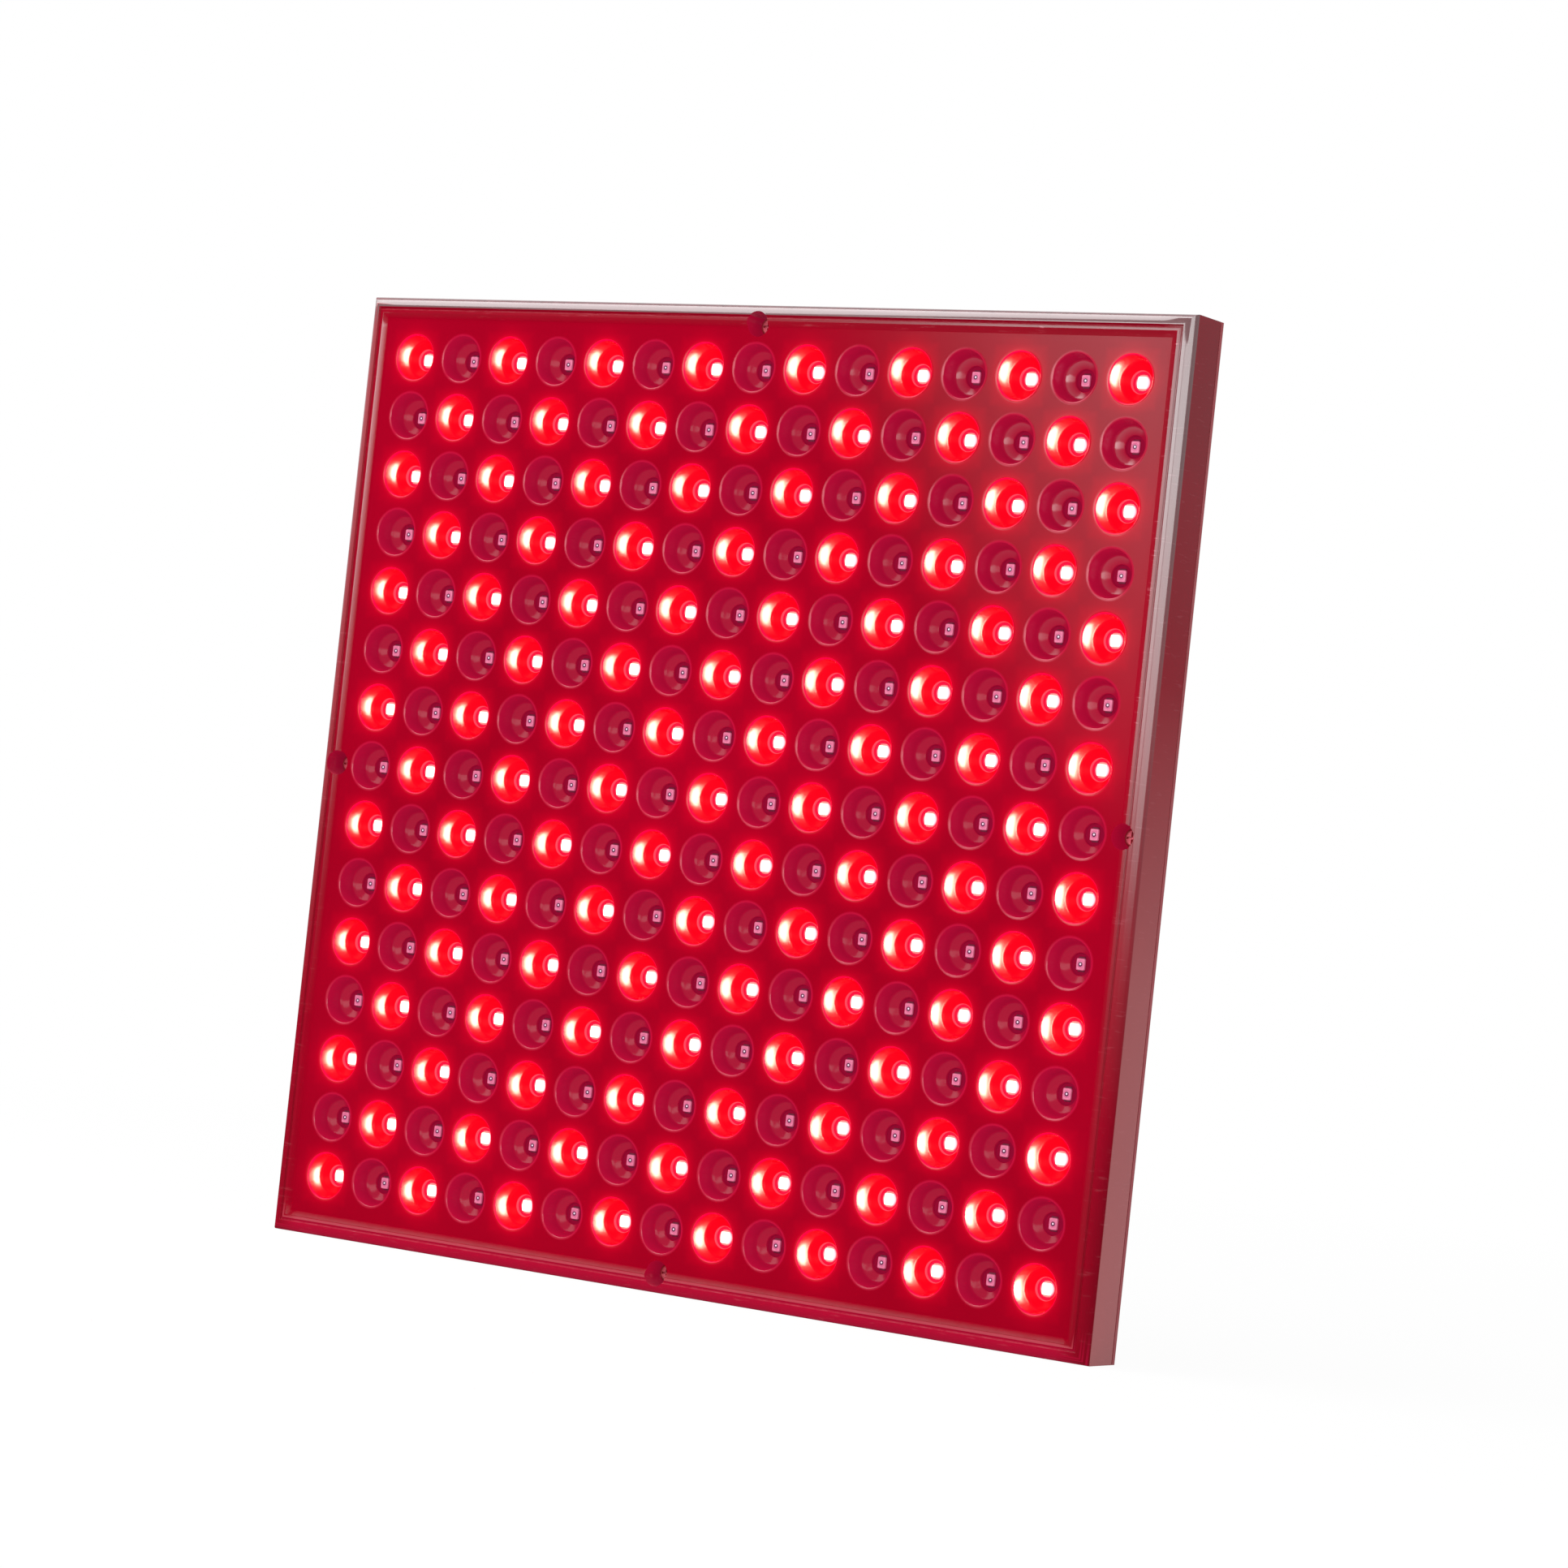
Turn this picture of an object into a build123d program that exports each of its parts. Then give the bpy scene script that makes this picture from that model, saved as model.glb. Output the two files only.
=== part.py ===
from build123d import *
import os
from math import cos, radians, sin, tan

os.makedirs("parts", exist_ok=True)

# A square red light therapy panel that stands on its bottom edge, in millimetres.
# It faces -Y with +X to its right as seen by the person in front of it, and +Z is up.
# The origin is the middle of the face that it stands on.

# Outside of the panel
panel_width = 310.0
panel_height = 310.0
side_depth = 18.0
hump_depth = 12.0

# Moulded front shell: rim, recessed face and side walls
rim_height = 1.0
rim_width = 7.2
rim_slope = 1.8
rim_bead_radius = 3.2
rim_groove_width = 0.7
rim_groove_depth = 0.4
rim_groove_inset = 3.6
face_wall = 2.0
side_wall = 2.0
edge_chamfer = 0.4

# Reflector cups
cup_columns = 15
cup_rows = 15
cup_pitch = 19.3
cup_mouth_radius = 7.4
cup_hole_radius = 3.5
cup_depth = 7.7
cup_hole_depth = 1.0
cup_wall = 1.2
cup_mouth_chamfer = 0.35
cup_bulge_share = 0.16

# Wells for the front screws, one in the middle of each side
well_radius = 4.0
well_wall = 1.2
well_inset = 6.2
well_floor = 2.0
front_screw_radius = 1.45
front_screw_clearance = 0.3
front_screw_head_radius = 3.0
front_screw_head_height = 2.2
front_screw_length = 5.0
insert_radius = 2.4
cover_boss_radius = 4.0

# Emitter board
board_margin = 6.6
board_thickness = 1.6
board_boss_radius = 3.0
board_boss_steps = (6.5, 2.5)
board_screw_radius = 1.25
board_screw_head_radius = 2.3
board_screw_head_height = 1.4
board_screw_length = 6.0
board_screw_clearance = 0.25

# Surface-mounted emitters
emitter_width = 2.8
emitter_height = 3.5
emitter_thickness = 0.7
emitter_window_radius = 1.2
emitter_window_depth = 0.4
emitter_lead_thickness = 0.2
emitter_lead_width = 2.4
emitter_lead_height = 4.6

# Series resistors on the back of the board, one for each row of emitters
resistor_length = 3.2
resistor_width = 1.6
resistor_thickness = 0.6
resistor_inset = 4.0

# Back cover
cover_wall = 1.5
hump_width = 236.0
hump_height = 236.0
hump_draft = 4.0
hump_corner_radius = 12.0
hump_edge_radius = 2.0
vent_length = 46.0
vent_width = 3.0
vent_pitch = 8.0
vent_rows = 8
vent_columns = 2
vent_column_pitch = 70.0
vent_rise = 52.0

# Screws that hold the back cover to the shell
cover_screw_radius = 1.45
cover_screw_clearance = 0.25
cover_screw_head_radius = 2.8
cover_screw_head_height = 1.8
cover_screw_length = 9.0
shell_boss_radius = 3.4
shell_boss_inset = 6.6
screw_pilot_clearance = 0.05
recess_arm = 0.7
recess_depth = 1.0
recess_reach_share = 0.62

# Hanging rings and the clips that hold them, in the corners behind the panel
ring_wire_radius = 1.5
ring_width = 19.0
ring_leg = 8.0
ring_corner_radius = 2.5
ring_inset = 19.0
ring_top_drop = 18.0
ring_bottom_rise = 40.0
clip_clearance = 0.3
clip_wall = 1.2
clip_width = 9.0
clip_tab_height = 13.0
rivet_radius = 1.2
rivet_head_radius = 2.2
rivet_head_height = 0.9
rivet_tail_radius = 1.8
rivet_tail_height = 1.0
rivet_inset = 3.0

# Mains inlet
inlet_x = 60.0
inlet_drop = 88.0
inlet_flange_width = 36.0
inlet_flange_height = 16.0
inlet_flange_thickness = 1.5
inlet_flange_corner = 4.0
inlet_body_width = 20.6
inlet_body_height = 12.6
inlet_body_depth = 11.5
inlet_recess_width = 14.6
inlet_recess_height = 8.2
inlet_recess_depth = 9.0
inlet_pin_radius = 1.18
inlet_pin_pitch = 8.6
inlet_pin_setback = 1.0
inlet_screw_pitch = 29.0
inlet_screw_radius = 1.3
inlet_screw_head_radius = 2.4
inlet_screw_head_height = 1.3
inlet_screw_length = 6.0
inlet_nut_radius = 2.8
inlet_nut_thickness = 2.0
cutout_clearance = 0.2
blade_width = 2.4
blade_thickness = 0.8
blade_length = 4.0

# Rocker switch
switch_x = 20.0
switch_flange_width = 11.0
switch_flange_height = 16.4
switch_body_width = 8.5
switch_body_height = 13.5
switch_well_width = 7.3
switch_well_depth = 8.3
rocker_reach = 5.7
rocker_clearance = 0.3
rocker_pivot_depth = 2.0
rocker_crown = 2.7
rocker_dip = 1.4
rocker_keel = 3.0
rocker_tilt = 10.0
rocker_pin_radius = 0.9
rocker_pin_clearance = 0.05
rocker_pin_length = 0.8
switch_blade_pitch = 7.0

# Power supply on its own board, behind an insulating sheet
driver_width = 100.0
driver_height = 60.0
driver_x = -20.0
driver_thickness = 1.6
driver_boss_radius = 3.0
driver_boss_height = 3.0
driver_boss_inset = 5.0
driver_screw_radius = 1.25
driver_screw_head_radius = 2.3
driver_screw_head_height = 1.4
driver_screw_length = 4.0
insulation_margin = 10.0
insulation_thickness = 0.4

# Parts on the power supply's board: width, height on the board, and how far each stands off it
terminal_width = 11.0
terminal_height = 10.0
terminal_standoff = 9.0
terminal_hole_radius = 1.15
terminal_hole_depth = 4.0
core_width = 24.0
core_height = 20.0
core_standoff = 9.4
core_window = 4.0
winding_wall = 0.3
choke_radius = 8.0
choke_bore_radius = 3.0
choke_standoff = 8.0
choke_edge = 1.6
film_capacitor_width = 15.0
film_capacitor_height = 6.5
film_capacitor_standoff = 9.0
bulk_capacitor_radius = 4.7
bulk_capacitor_length = 22.0
output_capacitor_radius = 4.0
output_capacitor_length = 13.0
output_capacitor_pitch = 9.0
capacitor_edge = 0.5
block_corner_share = 0.1
fuse_radius = 2.6
fuse_length = 16.0
fuse_cap_length = 4.0
fuse_cap_wall = 0.3
bridge_width = 8.0
bridge_height = 7.0
bridge_standoff = 2.6
sink_thickness = 2.0
sink_height = 26.0
sink_standoff = 9.0
transistor_width = 4.5
transistor_height = 10.0
transistor_standoff = 8.5
transistor_drop = 6.0

# Places of those parts, as shares of the board's half width and half height
input_terminal_shares = (0.66, -1.0)
output_terminal_shares = (-0.70, -1.0)
fuse_shares = (0.82, 0.35)
choke_shares = (0.40, -0.36)
film_capacitor_shares = (0.50, 0.36)
bridge_shares = (0.10, 0.62)
bulk_capacitor_shares = (0.08, 0.34)
core_shares = (-0.26, -0.30)
sink_shares = (-0.60, 0.42)
output_capacitor_shares = (-0.84, 0.20)

# Leads inside the case
lead_radius = 0.9
lead_pitch = 5.0
lead_insert = 3.0
lead_bend = 6.0
lead_bend_share = 0.45
socket_width = 11.0
socket_height = 8.0
socket_standoff = 8.0
socket_drop = 72.0

# Overrun of every cut past the surface that it opens
cut = 1.0

# Depths, from the front of the rim to the back of the hump
front_y = -side_depth / 2
face_y = front_y + rim_height
face_back_y = face_y + face_wall
cup_end_y = face_y + cup_depth
board_front_y = cup_end_y
board_back_y = board_front_y + board_thickness
well_floor_y = board_front_y
well_end_y = well_floor_y + well_floor
flange_back_y = side_depth / 2
flange_front_y = flange_back_y - cover_wall
hump_back_y = flange_back_y + hump_depth
hump_inside_y = hump_back_y - cover_wall
driver_back_y = hump_inside_y - driver_boss_height
driver_front_y = driver_back_y - driver_thickness
inlet_end_y = hump_back_y - inlet_body_depth
lead_y = inlet_end_y - blade_length / 2
middle_z = panel_height / 2


def facing(y):
    """A drawing plane across the panel at depth y: x to the right, y up, normal to the front."""
    return Plane(origin=(0, y, middle_z), x_dir=(1, 0, 0), z_dir=(0, -1, 0))


def finish(piece, name):
    """Names a finished piece and writes it."""
    piece.part.label = name
    export_step(piece.part, f"parts/{name}.step")
    print(name, len(piece.part.solids()), round(piece.part.volume, 1))


def cup_places(parity):
    """Centres of the cups whose column and row add up to an even (0) or odd (1) number."""
    places = []
    for row in range(cup_rows):
        for column in range(cup_columns):
            if (row + column) % 2 == parity:
                x = cup_pitch * (column - (cup_columns - 1) / 2)
                z = middle_z + cup_pitch * ((cup_rows - 1) / 2 - row)
                places.append((x, 0, z))
    return places


red_places = cup_places(0)
infrared_places = cup_places(1)

side_middles = [
    (0, panel_height / 2 - well_inset),
    (panel_width / 2 - well_inset, 0),
    (0, -panel_height / 2 + well_inset),
    (-panel_width / 2 + well_inset, 0),
]

# Cover screws: one in each corner and two along each side, in drawing coordinates
screw_x = panel_width / 2 - shell_boss_inset
screw_z = panel_height / 2 - shell_boss_inset
cover_screw_places = []
for sign_x in (-1, 1):
    for sign_z in (-1, 1):
        cover_screw_places.append((sign_x * screw_x, sign_z * screw_z))
        cover_screw_places.append((sign_x * screw_x / 2, sign_z * screw_z))
        cover_screw_places.append((sign_x * screw_x, sign_z * screw_z / 2))


def cup_profile(wall, start_y, end_y):
    """Half section of a cup whose bowl is pushed out by wall, between two depths."""
    mouth = (cup_mouth_radius + wall, face_y + cup_mouth_chamfer)
    neck = (cup_hole_radius + wall, cup_end_y - cup_hole_depth)
    run = (neck[0] - mouth[0], neck[1] - mouth[1])
    bulge = (
        (mouth[0] + neck[0]) / 2 + cup_bulge_share * run[1],
        (mouth[1] + neck[1]) / 2 - cup_bulge_share * run[0],
    )
    with BuildLine() as line:
        Polyline((0, end_y), (0, start_y), (mouth[0], start_y), mouth)
        ThreePointArc(mouth, bulge, neck)
        Polyline(neck, (neck[0], end_y), (0, end_y))
    return line


# Hollow of a cup, with the chamfer of its mouth
with BuildPart() as cup_hollow:
    with BuildSketch(Plane.XY):
        with BuildLine():
            add(cup_profile(0, face_y - cut, cup_end_y + cut).line)
        make_face()
        with BuildLine():
            Polyline(
                (0, face_y - cut),
                (cup_mouth_radius + cup_mouth_chamfer + cut, face_y - cut),
                (cup_mouth_radius, face_y + cup_mouth_chamfer),
                (0, face_y + cup_mouth_chamfer),
                close=True,
            )
        make_face()
    revolve(axis=Axis.Y)

# Outside of a cup's wall, from inside the face to the board
with BuildPart() as cup_skin:
    with BuildSketch(Plane.XY):
        with BuildLine():
            add(cup_profile(cup_wall, face_y + face_wall / 2, cup_end_y).line)
        make_face()
    revolve(axis=Axis.Y)

# Front shell: face, cups, rim and side walls in one moulding, open behind
with BuildPart() as front_shell:
    with BuildSketch(facing(flange_front_y)):
        Rectangle(panel_width, panel_height)
    extrude(amount=flange_front_y - front_y)
    fillet(front_shell.faces().sort_by(Axis.Y)[0].edges(), rim_bead_radius)
    chamfer(front_shell.faces().sort_by(Axis.Y)[-1].edges(), edge_chamfer)
    with BuildSketch(facing(flange_front_y)):
        Rectangle(panel_width - 2 * side_wall, panel_height - 2 * side_wall)
    extrude(amount=flange_front_y - face_back_y, mode=Mode.SUBTRACT)
    with BuildSketch(facing(face_y)):
        Rectangle(panel_width - 2 * rim_width, panel_height - 2 * rim_width)
    with BuildSketch(facing(front_y)):
        slope_inset = rim_width - rim_slope
        Rectangle(panel_width - 2 * slope_inset, panel_height - 2 * slope_inset)
    loft(ruled=True, mode=Mode.SUBTRACT)
    with BuildSketch(facing(front_y)):
        Rectangle(panel_width - 2 * rim_groove_inset, panel_height - 2 * rim_groove_inset)
        groove_inner = rim_groove_inset + rim_groove_width
        Rectangle(panel_width - 2 * groove_inner, panel_height - 2 * groove_inner, mode=Mode.SUBTRACT)
    extrude(amount=-rim_groove_depth, mode=Mode.SUBTRACT)
    with BuildSketch(facing(well_end_y)):
        with Locations(*side_middles):
            Circle(well_radius + well_wall)
    extrude(amount=well_end_y - face_back_y + face_wall / 2)
    with BuildSketch(facing(flange_front_y)):
        with Locations(*cover_screw_places):
            Circle(shell_boss_radius)
    extrude(amount=flange_front_y - face_back_y + face_wall / 2)
    with BuildSketch(facing(board_front_y)):
        for step in board_boss_steps:
            with GridLocations(2 * step * cup_pitch, 2 * step * cup_pitch, 2, 2):
                Circle(board_boss_radius)
    extrude(amount=board_front_y - face_back_y + face_wall / 2)
    with Locations(*red_places, *infrared_places):
        add(cup_skin.part)
    with Locations(*red_places, *infrared_places):
        add(cup_hollow.part, mode=Mode.SUBTRACT)
    with BuildSketch(facing(well_floor_y)):
        with Locations(*side_middles):
            Circle(well_radius)
    extrude(amount=well_floor_y - front_y + cut, mode=Mode.SUBTRACT)
    with BuildSketch(facing(well_end_y + cut)):
        with Locations(*side_middles):
            Circle(front_screw_radius + front_screw_clearance)
    extrude(amount=well_floor + 2 * cut, mode=Mode.SUBTRACT)
    with BuildSketch(facing(flange_front_y + cut)):
        with Locations(*cover_screw_places):
            Circle(cover_screw_radius + screw_pilot_clearance)
    extrude(amount=cut + cover_screw_length - cover_wall + cut, mode=Mode.SUBTRACT)
    with BuildSketch(facing(board_front_y + cut)):
        for step in board_boss_steps:
            with GridLocations(2 * step * cup_pitch, 2 * step * cup_pitch, 2, 2):
                Circle(board_screw_radius + screw_pilot_clearance)
    extrude(amount=cut + board_screw_length - board_thickness + edge_chamfer, mode=Mode.SUBTRACT)
finish(front_shell, "front_shell")

# Emitter board behind the cups
board_width = (cup_columns - 1) * cup_pitch + 2 * board_margin
board_height = (cup_rows - 1) * cup_pitch + 2 * board_margin
with BuildPart() as emitter_board:
    with BuildSketch(facing(board_back_y)):
        Rectangle(board_width, board_height)
        for step in board_boss_steps:
            with GridLocations(2 * step * cup_pitch, 2 * step * cup_pitch, 2, 2):
                Circle(board_screw_radius + board_screw_clearance, mode=Mode.SUBTRACT)
    extrude(amount=board_thickness)
finish(emitter_board, "emitter_board")

# One emitter: a package on two solder leads, and the clear window in it
emitter_front_y = board_front_y - emitter_lead_thickness - emitter_thickness
with BuildPart() as emitter_package:
    with BuildSketch(Plane.XZ.offset(-board_front_y)):
        Rectangle(emitter_lead_width, emitter_lead_height)
    extrude(amount=emitter_lead_thickness)
    with BuildSketch(Plane.XZ.offset(-board_front_y + emitter_lead_thickness)):
        Rectangle(emitter_width, emitter_height)
    extrude(amount=emitter_thickness)
    with BuildSketch(Plane.XZ.offset(-emitter_front_y)):
        Circle(emitter_window_radius)
    extrude(amount=-emitter_window_depth, mode=Mode.SUBTRACT)
with BuildPart() as emitter_window:
    with BuildSketch(Plane.XZ.offset(-emitter_front_y)):
        Circle(emitter_window_radius)
    extrude(amount=-emitter_window_depth)

for colour, places in (("red", red_places), ("infrared", infrared_places)):
    with BuildPart() as packages:
        with Locations(*places):
            add(emitter_package.part)
    finish(packages, f"{colour}_emitter_packages")
    with BuildPart() as windows:
        with Locations(*places):
            add(emitter_window.part)
    finish(windows, f"{colour}_emitter_windows")

with BuildPart() as board_resistors:
    with BuildSketch(facing(board_back_y)):
        with Locations((resistor_inset - board_width / 2, 0)):
            with GridLocations(cup_pitch, cup_pitch, 1, cup_rows):
                Rectangle(resistor_width, resistor_length)
    extrude(amount=-resistor_thickness)
finish(board_resistors, "board_resistors")


def pan_screw(head_radius, head_height, shank_radius, shank_length):
    """A screw with a domed head and a cross recess, seated at the origin with its shank along +Y."""
    with BuildPart() as screw:
        with BuildSketch(Plane.XZ):
            Circle(head_radius)
        extrude(amount=head_height)
        fillet(screw.faces().sort_by(Axis.Y)[0].edges(), head_height / 2)
        with BuildSketch(Plane.XZ):
            Circle(shank_radius)
        extrude(amount=-shank_length)
        with BuildSketch(Plane.XZ.offset(head_height)):
            Rectangle(2 * recess_reach_share * head_radius, recess_arm)
            Rectangle(recess_arm, 2 * recess_reach_share * head_radius)
        extrude(amount=-min(recess_depth, head_height / 2), mode=Mode.SUBTRACT)
    return screw.part


def screws_at(name, screw, places, seat_y, from_behind):
    """Copies of a screw at drawing-plane places, with their heads to the front or to the back."""
    with BuildPart() as group:
        for x, z in places:
            turn = 180 if from_behind else 0
            with Locations(Location((x, seat_y, middle_z + z), (0, 0, turn))):
                add(screw)
    finish(group, name)


front_screw = pan_screw(
    front_screw_head_radius, front_screw_head_height, front_screw_radius, front_screw_length
)
screws_at("front_screws", front_screw, side_middles, well_floor_y, False)

board_screw_places = []
for step in board_boss_steps:
    for sign_x in (-1, 1):
        for sign_z in (-1, 1):
            board_screw_places.append((sign_x * step * cup_pitch, sign_z * step * cup_pitch))
board_screw = pan_screw(
    board_screw_head_radius, board_screw_head_height, board_screw_radius, board_screw_length
)
screws_at("board_screws", board_screw, board_screw_places, board_back_y, True)

cover_screw = pan_screw(
    cover_screw_head_radius, cover_screw_head_height, cover_screw_radius, cover_screw_length
)
screws_at("cover_screws", cover_screw, cover_screw_places, flange_back_y, True)

# Rings: where each one hangs, in drawing coordinates
ring_x = panel_width / 2 - ring_inset
ring_top_z = panel_height / 2 - ring_top_drop
ring_bottom_z = -panel_height / 2 + ring_bottom_rise
clip_bore_radius = ring_wire_radius + clip_clearance
clip_outer_radius = clip_bore_radius + clip_wall
ring_axis_y = flange_back_y + clip_outer_radius
ring_places = {
    "top_left": (-ring_x, ring_top_z),
    "top_right": (ring_x, ring_top_z),
    "bottom_left": (-ring_x, ring_bottom_z),
    "bottom_right": (ring_x, ring_bottom_z),
}

# Places of the parts that open the back cover
inlet_z = -inlet_drop
inlet_screw_places = []
for side in (-1, 1):
    inlet_screw_places.append((inlet_x + side * inlet_screw_pitch / 2, inlet_z))
switch_z = -inlet_drop
driver_boss_places = []
for sign_x in (-1, 1):
    for sign_z in (-1, 1):
        boss_x = driver_x + sign_x * (driver_width / 2 - driver_boss_inset)
        boss_z = sign_z * (driver_height / 2 - driver_boss_inset)
        driver_boss_places.append((boss_x, boss_z))
rivet_places = []
for x, z in ring_places.values():
    rivet_places.append((x, z + clip_tab_height - rivet_inset))

# Back cover: a flange against the shell and a hump over the power supply
with BuildPart() as back_cover:
    with BuildSketch(facing(flange_back_y)):
        Rectangle(panel_width, panel_height)
    extrude(amount=cover_wall)
    with BuildSketch(facing(flange_front_y)):
        RectangleRounded(hump_width, hump_height, hump_corner_radius)
    with BuildSketch(facing(hump_back_y)):
        RectangleRounded(
            hump_width - 2 * hump_draft, hump_height - 2 * hump_draft, hump_corner_radius - hump_draft
        )
    loft()
    fillet(back_cover.faces().sort_by(Axis.Y)[-1].edges(), hump_edge_radius)
    with BuildSketch(facing(flange_front_y)):
        RectangleRounded(
            hump_width - 2 * cover_wall, hump_height - 2 * cover_wall, hump_corner_radius - cover_wall
        )
    with BuildSketch(facing(hump_inside_y)):
        inside_step = hump_draft + cover_wall
        RectangleRounded(
            hump_width - 2 * inside_step, hump_height - 2 * inside_step, hump_corner_radius - inside_step
        )
    loft(mode=Mode.SUBTRACT)
    with BuildSketch(facing(hump_inside_y)):
        with Locations(*driver_boss_places):
            Circle(driver_boss_radius)
            Circle(driver_screw_radius + screw_pilot_clearance, mode=Mode.SUBTRACT)
    extrude(amount=driver_boss_height)
    with BuildSketch(facing(flange_front_y)):
        with Locations(*side_middles):
            Circle(cover_boss_radius)
    extrude(amount=flange_front_y - well_end_y)
    with BuildSketch(facing(flange_front_y)):
        with Locations(*side_middles):
            Circle(insert_radius)
    extrude(amount=flange_front_y - well_end_y, mode=Mode.SUBTRACT)
    with BuildSketch(facing(flange_back_y + cut)):
        with Locations(*cover_screw_places):
            Circle(cover_screw_radius + cover_screw_clearance)
        with Locations(*rivet_places):
            Circle(rivet_radius)
    extrude(amount=cover_wall + 2 * cut, mode=Mode.SUBTRACT)
    with BuildSketch(facing(hump_back_y + cut)):
        with Locations((0, vent_rise)):
            with GridLocations(vent_column_pitch, vent_pitch, vent_columns, vent_rows):
                SlotOverall(vent_length, vent_width)
        with Locations((inlet_x, inlet_z)):
            Rectangle(inlet_body_width + 2 * cutout_clearance, inlet_body_height + 2 * cutout_clearance)
        with Locations(*inlet_screw_places):
            Circle(inlet_screw_radius + cutout_clearance)
        with Locations((switch_x, switch_z)):
            Rectangle(switch_body_width + 2 * cutout_clearance, switch_body_height + 2 * cutout_clearance)
    extrude(amount=cover_wall + 2 * cut, mode=Mode.SUBTRACT)
finish(back_cover, "back_cover")

# Threaded inserts in the cover's bosses, which the front screws run into
with BuildPart() as cover_inserts:
    with BuildSketch(facing(flange_front_y)):
        with Locations(*side_middles):
            Circle(insert_radius)
            Circle(front_screw_radius + screw_pilot_clearance, mode=Mode.SUBTRACT)
    extrude(amount=flange_front_y - well_end_y)
finish(cover_inserts, "cover_inserts")

# Clips: a loop round each ring's bar, with a tab above it that is riveted to the flange
with BuildPart() as ring_clips:
    for x, z in ring_places.values():
        clip_start = (x - clip_width / 2, ring_axis_y, middle_z + z)
        clip_side = Plane(origin=clip_start, x_dir=(0, 1, 0), z_dir=(1, 0, 0))
        with BuildSketch(clip_side):
            Circle(clip_outer_radius)
            with Locations((-clip_outer_radius + clip_wall, clip_tab_height / 2)):
                Rectangle(2 * clip_wall, clip_tab_height)
            Circle(clip_bore_radius, mode=Mode.SUBTRACT)
        extrude(amount=clip_width)
    with BuildSketch(facing(flange_back_y)):
        with Locations(*rivet_places):
            Circle(rivet_radius)
    extrude(amount=-2 * clip_wall - cut, mode=Mode.SUBTRACT)
finish(ring_clips, "ring_clips")

# Rivets through the clips and the flange
with BuildPart() as clip_rivets:
    with BuildSketch(facing(flange_front_y)):
        with Locations(*rivet_places):
            Circle(rivet_radius)
    extrude(amount=-cover_wall - 2 * clip_wall)
    with BuildSketch(facing(flange_back_y + 2 * clip_wall)):
        with Locations(*rivet_places):
            Circle(rivet_head_radius)
    extrude(amount=-rivet_head_height)
    fillet(clip_rivets.faces().sort_by(Axis.Y).group_by(Axis.Y)[-1].edges(), rivet_head_height / 2)
    with BuildSketch(facing(flange_front_y)):
        with Locations(*rivet_places):
            Circle(rivet_tail_radius)
    extrude(amount=rivet_tail_height)
finish(clip_rivets, "clip_rivets")

# Rings: a straight bar in the clip, two legs and a round bow, hanging straight down
for name, (x, z) in ring_places.items():
    ring_plane = Plane(origin=(x, ring_axis_y, middle_z + z), x_dir=(1, 0, 0), z_dir=(0, -1, 0))
    half = ring_width / 2
    corner = ring_corner_radius
    swing = corner * sin(radians(45))
    with BuildPart() as ring:
        with BuildLine(ring_plane) as ring_path:
            Line((0, 0), (half - corner, 0))
            ThreePointArc((half - corner, 0), (half - corner + swing, swing - corner), (half, -corner))
            Line((half, -corner), (half, -ring_leg))
            ThreePointArc((half, -ring_leg), (0, -ring_leg - half), (-half, -ring_leg))
            Line((-half, -ring_leg), (-half, -corner))
            ThreePointArc((-half, -corner), (corner - half - swing, swing - corner), (corner - half, 0))
            Line((corner - half, 0), (0, 0))
        with BuildSketch(Plane(origin=(x, ring_axis_y, middle_z + z), x_dir=(0, 1, 0), z_dir=(1, 0, 0))):
            Circle(ring_wire_radius)
        sweep()
    finish(ring, f"hanging_ring_{name}")

# Mains inlet: a flanged body with a recess for the plug, two pins and their solder blades
inlet_floor_y = hump_back_y + inlet_flange_thickness - inlet_recess_depth
with BuildPart() as inlet_body:
    with BuildSketch(facing(hump_back_y)):
        with Locations((inlet_x, inlet_z)):
            RectangleRounded(inlet_flange_width, inlet_flange_height, inlet_flange_corner)
    extrude(amount=-inlet_flange_thickness)
    with BuildSketch(facing(hump_back_y)):
        with Locations((inlet_x, inlet_z)):
            Rectangle(inlet_body_width, inlet_body_height)
    extrude(amount=inlet_body_depth)
    with BuildSketch(facing(inlet_floor_y)):
        with Locations((inlet_x, inlet_z)):
            SlotOverall(inlet_recess_width, inlet_recess_height)
    extrude(amount=-inlet_recess_depth - cut, mode=Mode.SUBTRACT)
    with BuildSketch(facing(inlet_end_y - cut)):
        with Locations((inlet_x, inlet_z)):
            with GridLocations(inlet_pin_pitch, inlet_pin_pitch, 2, 1):
                Circle(inlet_pin_radius)
    extrude(amount=-inlet_body_depth, mode=Mode.SUBTRACT)
    with BuildSketch(facing(hump_back_y + inlet_flange_thickness + cut)):
        with Locations(*inlet_screw_places):
            Circle(inlet_screw_radius + cutout_clearance)
    extrude(amount=inlet_flange_thickness + 2 * cut, mode=Mode.SUBTRACT)
finish(inlet_body, "inlet_body")

with BuildPart() as inlet_pins:
    pin_end_y = hump_back_y + inlet_flange_thickness - inlet_pin_setback
    with BuildSketch(facing(inlet_end_y)):
        with Locations((inlet_x, inlet_z)):
            with GridLocations(inlet_pin_pitch, inlet_pin_pitch, 2, 1):
                Circle(inlet_pin_radius)
    extrude(amount=inlet_end_y - pin_end_y)
    with BuildSketch(facing(inlet_end_y)):
        with Locations((inlet_x, inlet_z)):
            with GridLocations(inlet_pin_pitch, inlet_pin_pitch, 2, 1):
                Rectangle(blade_width, blade_thickness)
    extrude(amount=blade_length)
finish(inlet_pins, "inlet_pins")

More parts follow.
